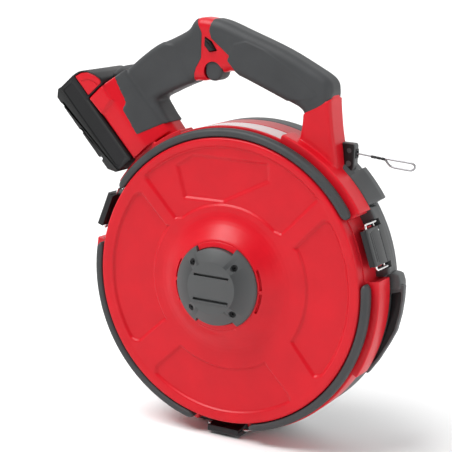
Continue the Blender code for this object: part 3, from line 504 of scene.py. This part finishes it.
def make_front_cover():
    radii = np.concatenate([[41, 45, 48, 50.2, 50.9], [51.0, 53.4], np.arange(53.5, 79, 0.9),
                            np.arange(79.4, 156, 0.95), [156.4, 157.2, 158, 158.6, 159.1, 159.5, 159.8, 160]])
    count = 540
    angles = np.radians(np.arange(count) * 360 / count)
    grid_r, grid_a = np.meshgrid(radii, angles, indexing="ij")
    x = grid_r * np.cos(grid_a)
    z = grid_r * np.sin(grid_a)
    y = cover_height(grid_r)
    for outline, depth, slope in panel_outlines():
        y = y + depth * smoothstep(depth_inside(x, z, outline) / slope)
    degrees = np.degrees((grid_a + np.pi) % (2 * np.pi) - np.pi)
    for middle in (0, 180):
        away = np.abs((degrees - middle + 180) % 360 - 180)
        vent = (grid_r > 50.95) & (grid_r < 53.45) & (away > 2.2) & (away < 27)
        y = np.where(vent, y + 3.2, y)
    shape = bmesh.new()
    rings = []
    for row in range(len(radii)):
        rings.append([shape.verts.new((x[row, k], y[row, k], z[row, k])) for k in range(count)])
    inner = [shape.verts.new(polar(41, k * 360 / count, 8)) for k in range(count)]
    lip = [shape.verts.new(polar(RIM_R, k * 360 / count, 14)) for k in range(count)]
    back = [shape.verts.new(polar(150, k * 360 / count, 8)) for k in range(count)]
    for near, far in zip([inner] + rings + [lip, back], rings + [lip, back, inner]):
        for k in range(count):
            following = (k + 1) % count
            shape.faces.new((near[k], near[following], far[following], far[k]))
    bmesh.ops.recalc_face_normals(shape, faces=shape.faces)
    piece("cover_face", shape, RED, replaced=["front_cover"], angle=50)
    wall = [(150, 13.5), (161.2, 13.5), (161.5, 15), (161.5, 43.85), (158.5, 43.85), (158.5, 16), (150, 16)]
    shapes = [turned(wall, pitch=2)]
    for start, end in latch_sectors():
        shapes.append(turned([(159, 14), (BAND_R, 14), (BAND_R, SEAM_Y - 0.15), (159, SEAM_Y - 0.15)],
                             start, end, 1.5, edge=1.2))
    for angle in LATCHES.values():
        for side in (-1, 1):
            low = min(side * 20.3, side * 22)
            ear = prism(round_corners([(low, 159), (low + 1.7, 159), (low + 1.7, 171), (low, 171)], 0.5), 30,
                        38)
            shapes.append(moved(ear, latch_matrix(angle)))
    piece("cover_band", joined(shapes), RED, replaced=["front_cover"])


def make_bumpers():
    for name, (start, end) in zip(("top", "left", "right"), latch_sectors()):
        start += 0.4
        end -= 0.4
        steps = round((end - start) / 1.2)
        tip = 2.6
        stations = [start + tip * (1 - math.cos(math.pi / 2 * k / 6)) for k in range(6)]
        stations += [start + tip + (end - start - 2 * tip) * k / steps for k in range(steps + 1)]
        stations += [end - tip * (1 - math.cos(math.pi / 2 * (5 - k) / 6)) for k in range(6)]
        sections = []
        for angle in stations:
            near = min(angle - start, end - angle)
            share = 1.0 if near >= tip else math.sqrt(max(1 - (1 - near / tip) ** 2, 0.02))
            ring = []
            for k in range(20):
                turn = 2 * math.pi * k / 20
                radius = 165.1 + 4.75 * share * math.copysign(abs(math.cos(turn)) ** 0.75, math.cos(turn))
                y = 6.6 + 7.1 * (0.55 + 0.45 * share) * math.copysign(abs(math.sin(turn)) ** 0.8,
                                                                      math.sin(turn))
                ring.append(polar(radius, angle, y))
            sections.append(ring)
        piece("rim_bumper_" + name, loft(sections), RUBBER, replaced=["bumper_" + name], angle=60)


def collar(start, end, radius=COLLAR_R, front=13.8, back=SEAM_Y - 0.15, inner=164.5):
    return turned([(inner, front), (radius, front), (radius, back), (inner, back)], start, end, 1.5, edge=1.4)


def make_collars():
    piece("case_collar_right", collar(-28, 8), RED, replaced=["collar_right"])
    piece("case_collar_left", collar(172, 208), RED, replaced=["collar_left"])


# ---- Hub ----------------------------------------------------------------------------------
def make_hub():
    cap = turned([(6, -16.9), (49.2, -16.9), (49.2, -19.2), (48, -21.1), (29.4, -31.8), (28.6, -32),
                  (6, -32)],
                 pitch=2.5)
    plug = rod((0, 0), 7, -31.98, -17, 72)
    cuts = []
    for start, end in ((62, 122), (-119, -56)):
        cuts.append(turned([(42.6, -40), (56, -40), (56, -10), (42.6, -10)], start, end, 2))
    for angle in (45, 135, 225, 315):
        centre = polar(36, angle)
        cuts.append(rod((centre.x, centre.z), 3.9, -40, -22.5, 20))
    for height in (-13.5, 13.5):
        cuts.append(box((-21.5, -40, height - 1.4), (21.5, -28.2, height + 1.4)))
    lip = prism([(-21, -16.6), (21, -16.6), (21, -15.2), (-21, -15.2)], -32.9, -31)
    cover = make_object("cap", joined([cap, plug]))
    boolean(cover, "UNION", lip, overlapping=True)
    piece("hub_cap_cover", take(cover), DARK_GREY, replaced=["hub_cap"], cuts=cuts, bevel=0.3, angle=18)
    notches = []
    for start, end in ((62, 122), (-119, -56)):
        notches.append(turned([(43.4, -15), (49, -15), (49, -17.6), (43.4, -19.4)], start + 1.2, end - 1.2, 2,
                              edge=0.5))
    piece("hub_ring_notches", joined(notches), RED)


# ---- Rear housing -------------------------------------------------------------------------
def motor_centre():
    centre = polar(75, 110)
    return centre.x, centre.z


def stadium(axis_radius, motor_radius, steps=40):
    centre = motor_centre()
    lean = math.degrees(math.acos((axis_radius - motor_radius) / math.hypot(*centre)))
    return (arc(motor_radius, 110 - lean, 110 + lean, steps, centre)
            + arc(axis_radius, 110 + lean, 470 - lean, steps))


def make_rear_housing():
    front = SEAM_Y + 0.15
    bowl = [(150, front), (171, front), (171, 79), (168, 87), (161, 95), (152, 100), (4, 100), (4, 90),
            (150, 90)]
    shapes = [turned(bowl, pitch=2, edge=1.5)]
    shapes.append(slab(stadium(46, 50), 92, 124, 0, 6))
    shapes.append(slab(arc(42, 0, 354, 59, motor_centre()), 118, 176, 0, 5))
    top_edge = [(160, 74.3), (172, 74.3), (172, 97), (168, 98.5), (156, 98.5)]
    shapes.append(turned(top_edge, 48, 140, 1.5, edge=2))
    lobe = [(166, front), (COLLAR_R, front), (COLLAR_R, 62), (174, 68), (166, 70)]
    shapes.append(turned(lobe, 8.6, 33.2, 1.5, edge=1.2))
    shapes.append(turned(lobe, 146.8, 171.4, 1.5, edge=1.2))
    cuts = []
    for angle in LATCHES.values():
        cuts.append(moved(box((-27, SEAM_Y - 1, 166.9), (27, 51.5, 190)), latch_matrix(angle)))
    piece("rear_shell", joined(shapes), GREY, replaced=["rear_housing"], fused=1.3, soften=3,
          cuts=[joined(cuts)], angle=45)
    keepers = []
    for angle in LATCHES.values():
        keeper = prism(round_corners([(-17, 165), (17, 165), (17, 171.5), (-17, 171.5)], 1), front,
                       front + 1.3)
        keepers.append(moved(keeper, latch_matrix(angle)))
    piece("latch_keepers", joined(keepers), GREY)
    rear_details()


def rear_details():
    """Screws round the back of the bowl and cooling slots on the motor housing."""
    screws = []
    for angle in REAR_SCREW_ANGLES:
        centre = polar(REAR_SCREW_R, angle)
        screws.append(slab(arc(5.2, 0, 345, 23, (centre.x, centre.z)), 97, 101.5, 0, 1))
    piece("rear_screw_bosses", joined(screws), GREY)
    heads = []
    for angle in REAR_SCREW_ANGLES:
        centre = polar(REAR_SCREW_R, angle)
        heads.append(rod((centre.x, centre.z), 3.3, 101, 101.9, 20))
    piece("rear_screw_heads", joined(heads), BLACK)
    centre = motor_centre()
    slots = []
    for index in range(10):
        angle = math.radians(-90 + (index - 4.5) * 24)
        place = (Matrix.Translation((centre[0], 0, centre[1])) @ Matrix.Rotation(-angle, 4, "Y"))
        slots.append(moved(box((41.2, 134, -1.6), (42.35, 164, 1.6)), place))
    piece("motor_vents", joined(slots), BLACK, bevel=0.3)


def make_base_foot():
    plan = [(-54, 46), (-26, 46), (-26, 54), (24, 54), (30, 61), (40, 75), (45, 90), (45, 110), (-60, 110),
            (-60, 62)]
    sections = []
    rounded = round_corners(plan, 5)
    for height, grow in ((-180, -1.2), (-178.6, 0), (-150, 0)):
        sections.append([Vector((x, y, height)) for x, y in inset(rounded, -grow)])
    room = [(1, 40), (171.2, 40), (171.2, 79), (168.2, 87), (161.2, 95.1), (152.2, 100.2), (1, 100.2)]
    piece("base_foot_block", loft(sections), RUBBER, replaced=["base_foot"], cuts=[turned(room, pitch=2)])


def make_side_feet():
    rim = [(189.6, 15.5), (189.4, 0), (187.6, -17), (183.5, -36), (176, -52), (165, -72), (153.4, -89)]
    recess = arc(174.6, -27.5, 1.5, 8) + [(186.8, 8.5), (187.2, 0), (185.4, -17), (181.3, -35), (173.9, -51),
                                          (163.4, -70)]
    cap = [(168, 9), (184.5, 10.5), (186.2, 13), (185.8, 19), (183, 26.4), (179, 27.8), (168, 28)]
    for name, mirror in (("right", 1), ("left", -1)):
        outline = [(x * mirror, z) for x, z in round_corners(arc(170.5, -30.2, 5, 10) + rim, 1.4, 3)]
        room = [(x * mirror, z) for x, z in round_corners(recess, 2.0, 4)]
        cut = prism(room, 48, 55)
        piece("side_foot_frame_" + name, slab(outline, 50.8, 58.5, 0.8, 1.2, levels=3), GREY,
              replaced=["side_foot_" + name], cuts=[cut], angle=40)
        block = [(x * mirror * 0.94 - mirror * 1.0, z * 0.97) for x, z in rim]
        block = [(x * mirror, z) for x, z in arc(168, -28, 5, 8)] + block
        piece("side_foot_bracket_" + name, slab(round_corners(block, 2), 57.5, 84, 0.5, 3, levels=3), GREY)
        top = [(x * mirror, z) for x, z in round_corners(cap, 1.6)]
        piece("side_foot_cap_" + name, slab(top, 49.6, 66, 1.4, 1.6, levels=3), GREY)
        piece("side_foot_inset_" + name, slab(inset(room, 0.25), 53.2, 55, 0.6, 0, levels=3), BLACK,
              replaced=["side_pad_" + name])


# ---- Handle -------------------------------------------------------------------------------
def handle_outline():
    return HANDLE_OUTSIDE + [(-118, 108), (-77, 139)] + FINGER_OPENING + [(70, 145), (115, 119)]


def battery_foot(front, back, grow=0.0):
    middle = (PACK_FRONT + PACK_BACK) / 2
    half = 36 + grow
    neck = 18 + grow
    sections = []
    for u in (176 - grow * 0.2, 220, 263.5 + grow * 0.2):
        outline = [(10.2, middle - half), (-14, middle - half), (-40, middle - neck), (-40, middle + neck),
                   (-14, middle + half), (10.2, middle + half)]
        outline = round_corners(outline, 5, 4)
        sections.append([Vector((u, min(max(y, front), back), n)) for n, y in outline])
    return moved(loft(sections), pack_matrix())


def shuttle_outline():
    return [(-50, 262), (-50, 254), (-44, 248), (-37, 250), (-43, 258)]


def make_handle():
    full = handle_outline()
    core = inset(full, 0.8)
    leg_side = [(60, 178), (71.5, 190.5), (86, 198), (102.5, 209), (103.5, 217.5), (106, 222), (125, 226),
                (130, 100),
                (60, 100)]
    leg = make_object("leg", slab(full, HANDLE_FRONT, HANDLE_BACK, 5, 5, levels=5, smooth=4))
    boolean(leg, "INTERSECT", prism(leg_side, 0, 90))
    boss = moved(loft([[Vector((u, y, n)) for u, n in line] for line, y in (
        ([(261.5, 9.4), (261.5, -12.5), (244, -12.5), (240, 8)], 6.3),
        ([(263, 10), (263, -13.8), (239.5, -14), (235.5, 8.6)], 9.8))]), pack_matrix())
    solids = [slab(core, HANDLE_FRONT + 0.8, HANDLE_BACK - 0.8, 9.4, 9.4, smooth=4), take(leg), boss,
              battery_foot(-1, 90),
              collar(32.4, 72), collar(114, 147.6, COLLAR_R - 1.5),
              turned([(169.4, SEAM_Y), (172, SEAM_Y), (172, 73.7), (169.4, 73.7)], 48, 142, 1.5)]
    trigger_room = arc(11.4, 180, 360, 16, (-40, 226)) + [(-28.6, 246), (-51.4, 246)]
    cuts = [joined([prism(trigger_room, 29.6, 56), prism(inset(shuttle_outline(), -1.3), 20, 70),
                    box((80, TAPE_Y - 4, 145), (125, TAPE_Y + 4, 157))]),
            prism(arc(11.1, 0, 350, 35, (-40, 226)), 15, 31)]
    piece("handle_shell", joined(solids), RED, replaced=["handle_front", "handle_rear"], fused=1.0, soften=3,
          cuts=cuts, angle=50)
    beyond = [(-14, 210), (21, 200), (60, 180), (69, 189.5), (86, 197.5), (101, 206.5), (102.5, 217),
              (106, 221),
              (125, 226), (80, 270), (0, 310), (-38, 310)]
    grip = make_object("grip", slab(full, HANDLE_FRONT, HANDLE_BACK, 10, 10, levels=7, smooth=4))
    boolean(grip, "INTERSECT", prism(HEAD_RIGHT + beyond, 0, 90))
    pad = make_object("pad", slab(inset(full, -0.7), HANDLE_FRONT - 0.7, HANDLE_BACK + 0.7, 10, 10, levels=7,
                                  smooth=4))
    boolean(pad, "INTERSECT", prism(GRIP_PAD, 0, 90))
    piece("grip_overmould", joined([take(grip), take(pad)]), RUBBER, replaced=["grip_sleeve"], fused=0.9,
          soften=3, angle=50)
    beyond = [(-80, 310), (-120, 290), (-190, 240), (-175, 205), (-97, 186), (-64, 200)]
    arm = make_object("arm", slab(full, HANDLE_FRONT, HANDLE_BACK, 10, 10, levels=7, smooth=4))
    boolean(arm, "INTERSECT", prism(HEAD_LEFT + beyond, 0, 90))
    patch = make_object("patch", battery_foot(0, 90, grow=0.9))
    region = [(-172, 238), (-163, 214), (-142.3, 184), (-143.6, 175.7), (-123.2, 149.6), (-111, 156.2),
              (-102.3, 161),
              (-93, 165), (-70, 168), (-60, 200), (-90, 250), (-140, 262)]
    boolean(patch, "INTERSECT", prism(region, -5, 95))
    leg = make_object("leg", slab(inset(full, -0.4), HANDLE_FRONT - 0.5, HANDLE_BACK + 0.5, 7, 7, smooth=3))
    boolean(leg, "INTERSECT", prism(region, -5, 95))
    swell = slab(round_corners([(-176, 206), (-176, 213), (-164, 221.5), (-149, 224), (-140, 219),
                                (-130, 200)], 6, 4),
                 36, 66, 7, 7, levels=5)
    piece("arm_overmould", joined([take(arm), take(patch), take(leg), swell]), RUBBER,
          replaced=["arm_sleeve"],
          fused=1.1, soften=9, angle=60)


def take(made):
    """The object's mesh as a bmesh; the object goes."""
    shape = bmesh.new()
    shape.from_mesh(made.data)
    mesh = made.data
    bpy.data.objects.remove(made)
    bpy.data.meshes.remove(mesh)
    return shape


def make_controls():
    trigger = arc(10.4, 180, 360, 24, (-40, 226)) + [(-29.6, 238), (-50.4, 238)]
    shape = slab(trigger, 30, 54, 3.5, 4.5, levels=5)
    piece("trigger_pad", shape, RUBBER, body="trigger", replaced=["trigger"], angle=50)
    low, high, turns, per_turn = 239.2, 245.8, 4, 20
    middle_x, coil_radius, wire_radius = -34, 3, 0.5
    coil = []
    for index in range(turns * per_turn + 1):
        angle = 2 * math.pi * index / per_turn
        coil.append((middle_x + coil_radius * math.cos(angle), SEAM_Y + coil_radius * math.sin(angle),
                     low + (high - low) * index / (turns * per_turn)))
    spring = piece("trigger_return_coil", tube(coil, wire_radius, 8), BRIGHT, replaced=["trigger_spring"],
                   angle=60)
    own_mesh(spring)
    piece("shuttle_key", slab(round_corners(shuttle_outline(), 1.2), 25.5, 65, 1.2, 1.2, levels=3), BLACK,
          body="shuttle", replaced=["direction_shuttle"])


# ---- Battery pack -------------------------------------------------------------------------
def pack_slab(outline, front, back, front_edge, back_edge, levels=4):
    return moved(slab(outline, front, back, front_edge, back_edge, levels), pack_matrix())


def button_outline():
    return [(265.8, 8.6), (265.8, -14.5), (270, -15.8), (278, -13), (286, -8), (291, -1), (293, 8.6)]


def make_pack():
    upper = [(177, 10.5), (264, 10.5), (264, -16), (270, -18), (280, -14.5), (289, -8), (294, 0), (296, 9),
             (296, 35), (177, 35)]
    front, back = PACK_FRONT, PACK_BACK
    cuts = []
    panel = round_corners([(184, 15.5), (288, 15.5), (291, 19), (291, 31.5), (184, 31.5), (180, 27)], 2)
    button_room = round_corners(inset(button_outline(), -0.7), 1.5)
    for near, far in ((front - 2, front + 1.0), (back - 1.0, back + 2)):
        cuts.append(moved(prism(panel, near, far), pack_matrix()))
    for near, far in ((front - 2, front + 8.6), (back - 8.6, back + 2)):
        cuts.append(moved(prism(button_room, near, far), pack_matrix()))
    shape = pack_slab(round_corners(upper, 2.2), front, back, 1.6, 1.6)
    piece("pack_shell", shape, BLACK, body="pack", replaced=["pack_upper_case"], cuts=[joined(cuts)],
          bevel=0.3, angle=40)
    lower = [(176, 32), (296, 32), (296.5, 36), (290, 43.4)]
    for notch in (278.6, 240.7, 201.4):
        lower += [(notch + 2.4, 43.4), (notch + 1.5, 40.6), (notch - 1.5, 40.6), (notch - 2.4, 43.4)]
    lower += [(187, 43.4), (178, 37)]
    shape = pack_slab(round_corners(lower, 0.7, 2), front - 0.9, back + 0.9, 1.2, 1.2, 3)
    piece("pack_guard", shape, PACK_GUARD, body="pack", replaced=["pack_lower_case"], angle=40)
    plates = []
    for near in (front + 0.5, back - 1.1):
        plates.append(moved(prism(inset(panel, 0.3), near, near + 0.6), pack_matrix()))
    piece("pack_panels", joined(plates), PANEL, body="pack")
    bezel = [(180, 12.2), (262, 12.2), (262, 13.6), (180, 13.6)]
    shapes = [pack_slab(bezel, front - 0.35, front + 2, 0.3, 0, 2),
              pack_slab(bezel, back - 2, back + 0.35, 0, 0.3, 2)]
    piece("pack_seam_ridges", joined(shapes), PACK_GUARD, body="pack")
    groove = turned_about((265.8, 8.6), 17.4, 18.4, 4, 78)
    for name, near, edge_front, edge_back in (("front", front + 0.2, 1.2, 0), ("back", back - 5.2, 0, 1.2)):
        outline = round_corners(button_outline(), 1.5)
        shape = pack_slab(outline, near, near + 5, edge_front, edge_back)
        y = near - 0.5 if name == "front" else near + 4.5
        cut = moved(prism(groove, y, y + 1.2), pack_matrix())
        piece("pack_release_" + name, shape, RED, body="button_" + name, replaced=["pack_button_" + name],
              cuts=[cut])


def turned_about(centre, inner, outer, start, end, steps=14):
    """A curved band in the pack's UN plane."""
    return arc(outer, start - 90, end - 90, steps, centre) + arc(inner, end - 90, start - 90, steps, centre)


# ---- Latches ------------------------------------------------------------------------------
def bail_route():
    """Bent wire of a bail in its latch's own frame, from one pivot end round to the other."""
    side = 24.6
    half = [(16.5, 20, 172.2), (side - 2.4, 20, 172.2), (side - 0.7, 20.7, 172.3), (side, 22.4, 172.6),
            (side, 30, 174),
            (side, 42.5, 174), (side, 45.4, 173), (side, 46.9, 171.4), (side - 0.8, 47.3, 169.7),
            (side - 2.6, 47.3, 168.9)]
    return half + [(-across, y, z) for across, y, z in reversed(half)]


def make_latches():
    for name, angle in LATCHES.items():
        place = latch_matrix(angle)
        profile = round_corners([(9.4, 173), (9.4, 177.0), (10.6, 177.8), (39.2, 177.8), (39.2, 166.4),
                                 (30, 165.5),
                                 (21, 169.0), (17, 173)], 0.8, 3)
        sections = [[Vector((across, y, z)) for y, z in profile] for across in (-19.8, 19.8)]
        cuts = []
        for y in (14.2, 15.7):
            cuts.append(moved(box((-15.5, y, 177.2), (15.5, y + 0.6, 180)), place))
        cuts.append(moved(box((-16.4, 18.6, 177.3), (16.4, 19.3, 180)), place))
        lever = moved(loft(sections), place)
        piece("latch_handle_" + name, lever, DARK_GREY, body="lever_" + name,
              replaced=["latch_lever_" + name],
              cuts=[joined(cuts)], bevel=0.5)
        # Painted shade: a black block fills the shaded underside below the lever's front edge, where the
        # pocket falls dark.
        shade_profile = round_corners([(8.7, 169.8), (8.7, 176.2), (10, 176.2), (10, 173), (24, 171), (24, 167.6),
                               (15.5, 170.4)],
                              0.5, 2)
        shade_block = moved(loft([[Vector((across, y, z)) for y, z in shade_profile] for across in (-19.3, 19.3)]), place)
        piece("latch_painted_shade_" + name, shade_block, BLACK, body="lever_" + name)
        dot = moved(rod((0, 0), 0.9, -0.3, 0.8, 12), place @ Matrix.Translation((-15.5, 37, 177.6))
                    @ Matrix.Rotation(math.pi / 2, 4, "X"))
        piece("latch_rivet_" + name, dot, BRIGHT, body="lever_" + name)
        clip = round_corners([(40.6, 172.2), (40.6, 177.7), (52.6, 177.7), (54, 176.2), (54, 172.2)], 0.8, 3)
        shape = moved(loft([[Vector((across, y, z)) for y, z in clip] for across in (-19.8, 19.8)]), place)
        piece("latch_clip_" + name, shape, DARK_GREY, body="bail_" + name, bevel=0.4)
        bail = moved(tube(round_route(bail_route()), 1.25), place)
        piece("latch_wire_" + name, bail, BRIGHT, body="bail_" + name, replaced=["latch_bail_" + name],
              angle=60)


def round_route(points, per=3):
    """An open smooth curve through points in space."""
    made = []
    for index in range(len(points) - 1):
        p1, p2 = Vector(points[index]), Vector(points[index + 1])
        p0 = Vector(points[index - 1]) if index else p1 * 2 - p2
        p3 = Vector(points[index + 2]) if index + 2 < len(points) else p2 * 2 - p1
        for step in range(per):
            t = step / per
            made.append(0.5 * (p1 * 2 + (p2 - p0) * t + (p0 * 2 - p1 * 5 + p2 * 4 - p3) * t * t
                               + (p1 * 3 - p0 - p2 * 3 + p3) * t ** 3))
    made.append(Vector(points[-1]))
    return made


# ---- Nozzle and tape ----------------------------------------------------------------------
def tape_height(x):
    return 150.5 - 0.077 * (x - 124)


def make_nozzle():
    side = round_corners([(106, 128), (121, 129.5), (124.3, 136), (124.3, 159), (122.8, 161.4), (106, 161.4)],
                         1.4)
    shape = slab(side, 50.6, 60.8, 1.0, 1.4, levels=4)
    slot = box((100, TAPE_Y - 2.6, 147.2), (140, TAPE_Y + 2.6, 153.4))
    piece("nozzle_body", shape, GREY, replaced=["tape_nozzle"], cuts=[slot], bevel=0.3, angle=40)
    face = slab(round_corners([(106, 130), (121, 131), (123.4, 136.4), (123.4, 158.6), (122, 160.6),
                               (106, 160.6)], 1.2),
                50.0, 52, 0.7, 0, levels=3)
    dimples = [rod((117.6, 153.6), 2.8, 40, 51.2, 20), rod((117.6, 139.5), 3.2, 40, 51.2, 20)]
    piece("nozzle_front_face", face, BLACK, cuts=dimples, angle=40)
    mouth = slab(round_corners([(123.8, 145.4), (125.2, 145.4), (125.2, 155.2), (123.8, 155.2)], 0.5),
                 TAPE_Y - 3.9,
                 TAPE_Y + 3.9, 0.5, 0.5, 2)
    piece("nozzle_mouth", mouth, BLACK, cuts=[box((120, TAPE_Y - 2.6, 147.2), (140, TAPE_Y + 2.6, 153.4))])
    base = [(169.5, 44.2), (176, 44.2), (180.5, 52), (180.5, 66), (169.5, 68)]
    piece("nozzle_base", turned(base, 44.5, 50.5, 1.0, edge=1.2), GREY)
    profile = [(169.5, 44.2), (COLLAR_R, 44.2), (187, 60), (187, 70), (181, 76), (169.5, 76)]
    piece("tape_guide_block", turned(profile, 34, 46, 1.0, edge=1.4), GREY, replaced=["tape_guide"])


def make_tape():
    strip = []
    for index in range(13):
        x = 99 + (141.2 - 99) * index / 12
        z = tape_height(x)
        strip.append([Vector((x, TAPE_Y + y, z + dz)) for y, dz in (
            (-2, -0.4), (-1.7, -0.6), (1.7, -0.6), (2, -0.4), (2, 0.4), (1.7, 0.6), (-1.7, 0.6), (-2, 0.4))])
    piece("tape_strip", loft(strip), TAPE_STEEL, body="tape_tip", replaced=["tape_end"])
    rings = []
    for share, swell in ((0, 0.6), (0.04, 1), (0.3, 1), (0.34, 0.86), (0.4, 0.86), (0.44, 1), (0.62, 1),
                         (0.66, 0.86), (0.72, 0.86), (0.76, 1), (0.96, 1), (1, 0.6)):
        x = 141 + 16.5 * share
        z = tape_height(x) - 0.2
        ring = []
        for k in range(16):
            turn = 2 * math.pi * k / 16
            ring.append(Vector((x, TAPE_Y + 2.4 * swell * math.cos(turn), z + 1.5 * swell * math.sin(turn))))
        rings.append(ring)
    piece("crimp_sleeve", loft(rings), BLACK, body="tape_tip", replaced=["tape_crimp"], angle=60)
    route = flowing([(156, 148.2), (168, 147.9), (187, 146.9), (190.2, 145.6), (191.2, 143.4), (190, 140.6),
                     (186.5, 139.2), (176, 139.6), (166.5, 140.4), (162.5, 142), (158.5, 146)], 4)
    piece("pulling_loop", tube([(x, TAPE_Y, z) for x, z in route], 1.15, closed=True), TAPE_STEEL,
          body="tape_tip",
          replaced=["tape_loop"], angle=60)


# ---- Label --------------------------------------------------------------------------------
def make_label():
    """Blank film round the top of the cover's band; its right end is cut at a slant."""
    shape = bmesh.new()
    columns = 90
    outer = []
    for index in range(columns + 1):
        share = index / columns
        row = []
        for level in range(9):
            depth = level / 8
            end = 70.5 - 5.5 * depth
            angle = 127 + (end - 127) * share
            y = 15.4 + 28 * depth
            row.append(shape.verts.new(polar(171.75, angle, y)))
        outer.append(row)
    for near, far in zip(outer, outer[1:]):
        for level in range(8):
            shape.faces.new((near[level], near[level + 1], far[level + 1], far[level]))
    bmesh.ops.recalc_face_normals(shape, faces=shape.faces)
    bmesh.ops.solidify(shape, geom=shape.faces[:], thickness=0.15)
    piece("band_label_film", shape, FILM)


# ---- Stage, camera and light --------------------------------------------------------------
def make_camera():
    azimuth, elevation, roll = math.radians(28.133), math.radians(12.282), 0.0374
    back = Vector((math.sin(azimuth) * math.cos(elevation), -math.cos(azimuth) * math.cos(elevation),
                   math.sin(elevation)))
    right = Vector((math.cos(azimuth), math.sin(azimuth), 0))
    up = back.cross(right)
    turned_right = right * math.cos(roll) + up * math.sin(roll)
    turned_up = up * math.cos(roll) - right * math.sin(roll)
    data = bpy.data.cameras.new("camera")
    data.sensor_width = 36
    data.lens = 119.47
    data.clip_end = 50
    camera = bpy.data.objects.new("camera", data)
    matrix = Matrix.Identity(4)
    matrix.col[0][:3] = turned_right
    matrix.col[1][:3] = turned_up
    matrix.col[2][:3] = back
    matrix.col[3][:3] = (0.7505, -1.4864, 0.5906)
    camera.matrix_world = matrix
    bpy.context.scene.collection.objects.link(camera)
    bpy.context.scene.camera = camera


def add_area(name, location, target, size, power, colour=(1, 1, 1)):
    data = bpy.data.lights.new(name, "AREA")
    data.shape = "DISK"
    data.size = size
    data.energy = power
    data.color = colour
    lamp = bpy.data.objects.new(name, data)
    lamp.location = location
    lamp.rotation_mode = "QUATERNION"
    lamp.rotation_quaternion = (Vector(target) - Vector(location)).to_track_quat("-Z", "Y")
    bpy.context.scene.collection.objects.link(lamp)


def make_stage():
    made, tree, shader = new_material("pale_floor")
    place = node(tree, "ShaderNodeTexCoord")
    noise = node(tree, "ShaderNodeTexNoise", in_Scale=3.0)
    shades = node(tree, "ShaderNodeValToRGB")
    shades.color_ramp.elements[0].color = (0.88, 0.88, 0.88, 1)
    shades.color_ramp.elements[1].color = (0.92, 0.92, 0.92, 1)
    tree.links.new(place.outputs["Object"], noise.inputs["Vector"])
    tree.links.new(noise.outputs["Fac"], shades.inputs["Fac"])
    tree.links.new(shades.outputs["Color"], shader.inputs["Base Color"])
    shader.inputs["Roughness"].default_value = 0.9
    shape = bmesh.new()
    corners = [shape.verts.new((x, y, -0.0005)) for x, y in ((-6, -6), (6, -6), (6, 6), (-6, 6))]
    shape.faces.new(corners)
    floor = make_object("floor", shape)
    floor.data.materials.append(made)
    world = bpy.data.worlds.new("studio")
    world.use_nodes = True
    tree = world.node_tree
    tree.nodes["Background"].inputs["Color"].default_value = (1, 1, 1, 1)
    place = node(tree, "ShaderNodeTexCoord")
    split = node(tree, "ShaderNodeSeparateXYZ")
    ramp = node(tree, "ShaderNodeMapRange", in_From_Min=-0.5, in_From_Max=0.45, in_To_Min=0.10,
                in_To_Max=1.06)
    tree.links.new(place.outputs["Generated"], split.inputs["Vector"])
    tree.links.new(split.outputs["Y"], ramp.inputs["Value"])
    horizon = node(tree, "ShaderNodeMapRange", in_From_Min=0.12, in_From_Max=0.24, in_To_Min=1.0,
                   in_To_Max=0.0)
    tree.links.new(split.outputs["Z"], horizon.inputs["Value"])
    brighter = node(tree, "ShaderNodeMath", operation="MAXIMUM")
    tree.links.new(ramp.outputs["Result"], brighter.inputs[0])
    tree.links.new(horizon.outputs["Result"], brighter.inputs[1])
    tree.links.new(brighter.outputs["Value"], tree.nodes["Background"].inputs["Strength"])
    bpy.context.scene.world = world
    centre = (0, -0.03, 0.23)
    sun = bpy.data.lights.new("sun", "SUN")
    sun.energy = 3.0
    sun.angle = math.radians(42)
    lamp = bpy.data.objects.new("sun", sun)
    lamp.rotation_mode = "QUATERNION"
    lamp.rotation_quaternion = Vector((0.42, 0.42, -1.05)).to_track_quat("-Z", "Y")
    bpy.context.scene.collection.objects.link(lamp)
    add_area("key", (-0.75, -1.0, 1.5), centre, 0.45, 5)
    add_area("side", (1.7, -0.5, 0.8), centre, 0.9, 6)
    bpy.context.scene.view_settings.view_transform = "Standard"


make_camera()
make_stage()
dress_cad_nodes()
make_front_cover()
make_bumpers()
make_collars()
make_hub()
make_rear_housing()
make_base_foot()
make_side_feet()
make_handle()
make_controls()
make_pack()
make_latches()
make_nozzle()
make_tape()
make_label()
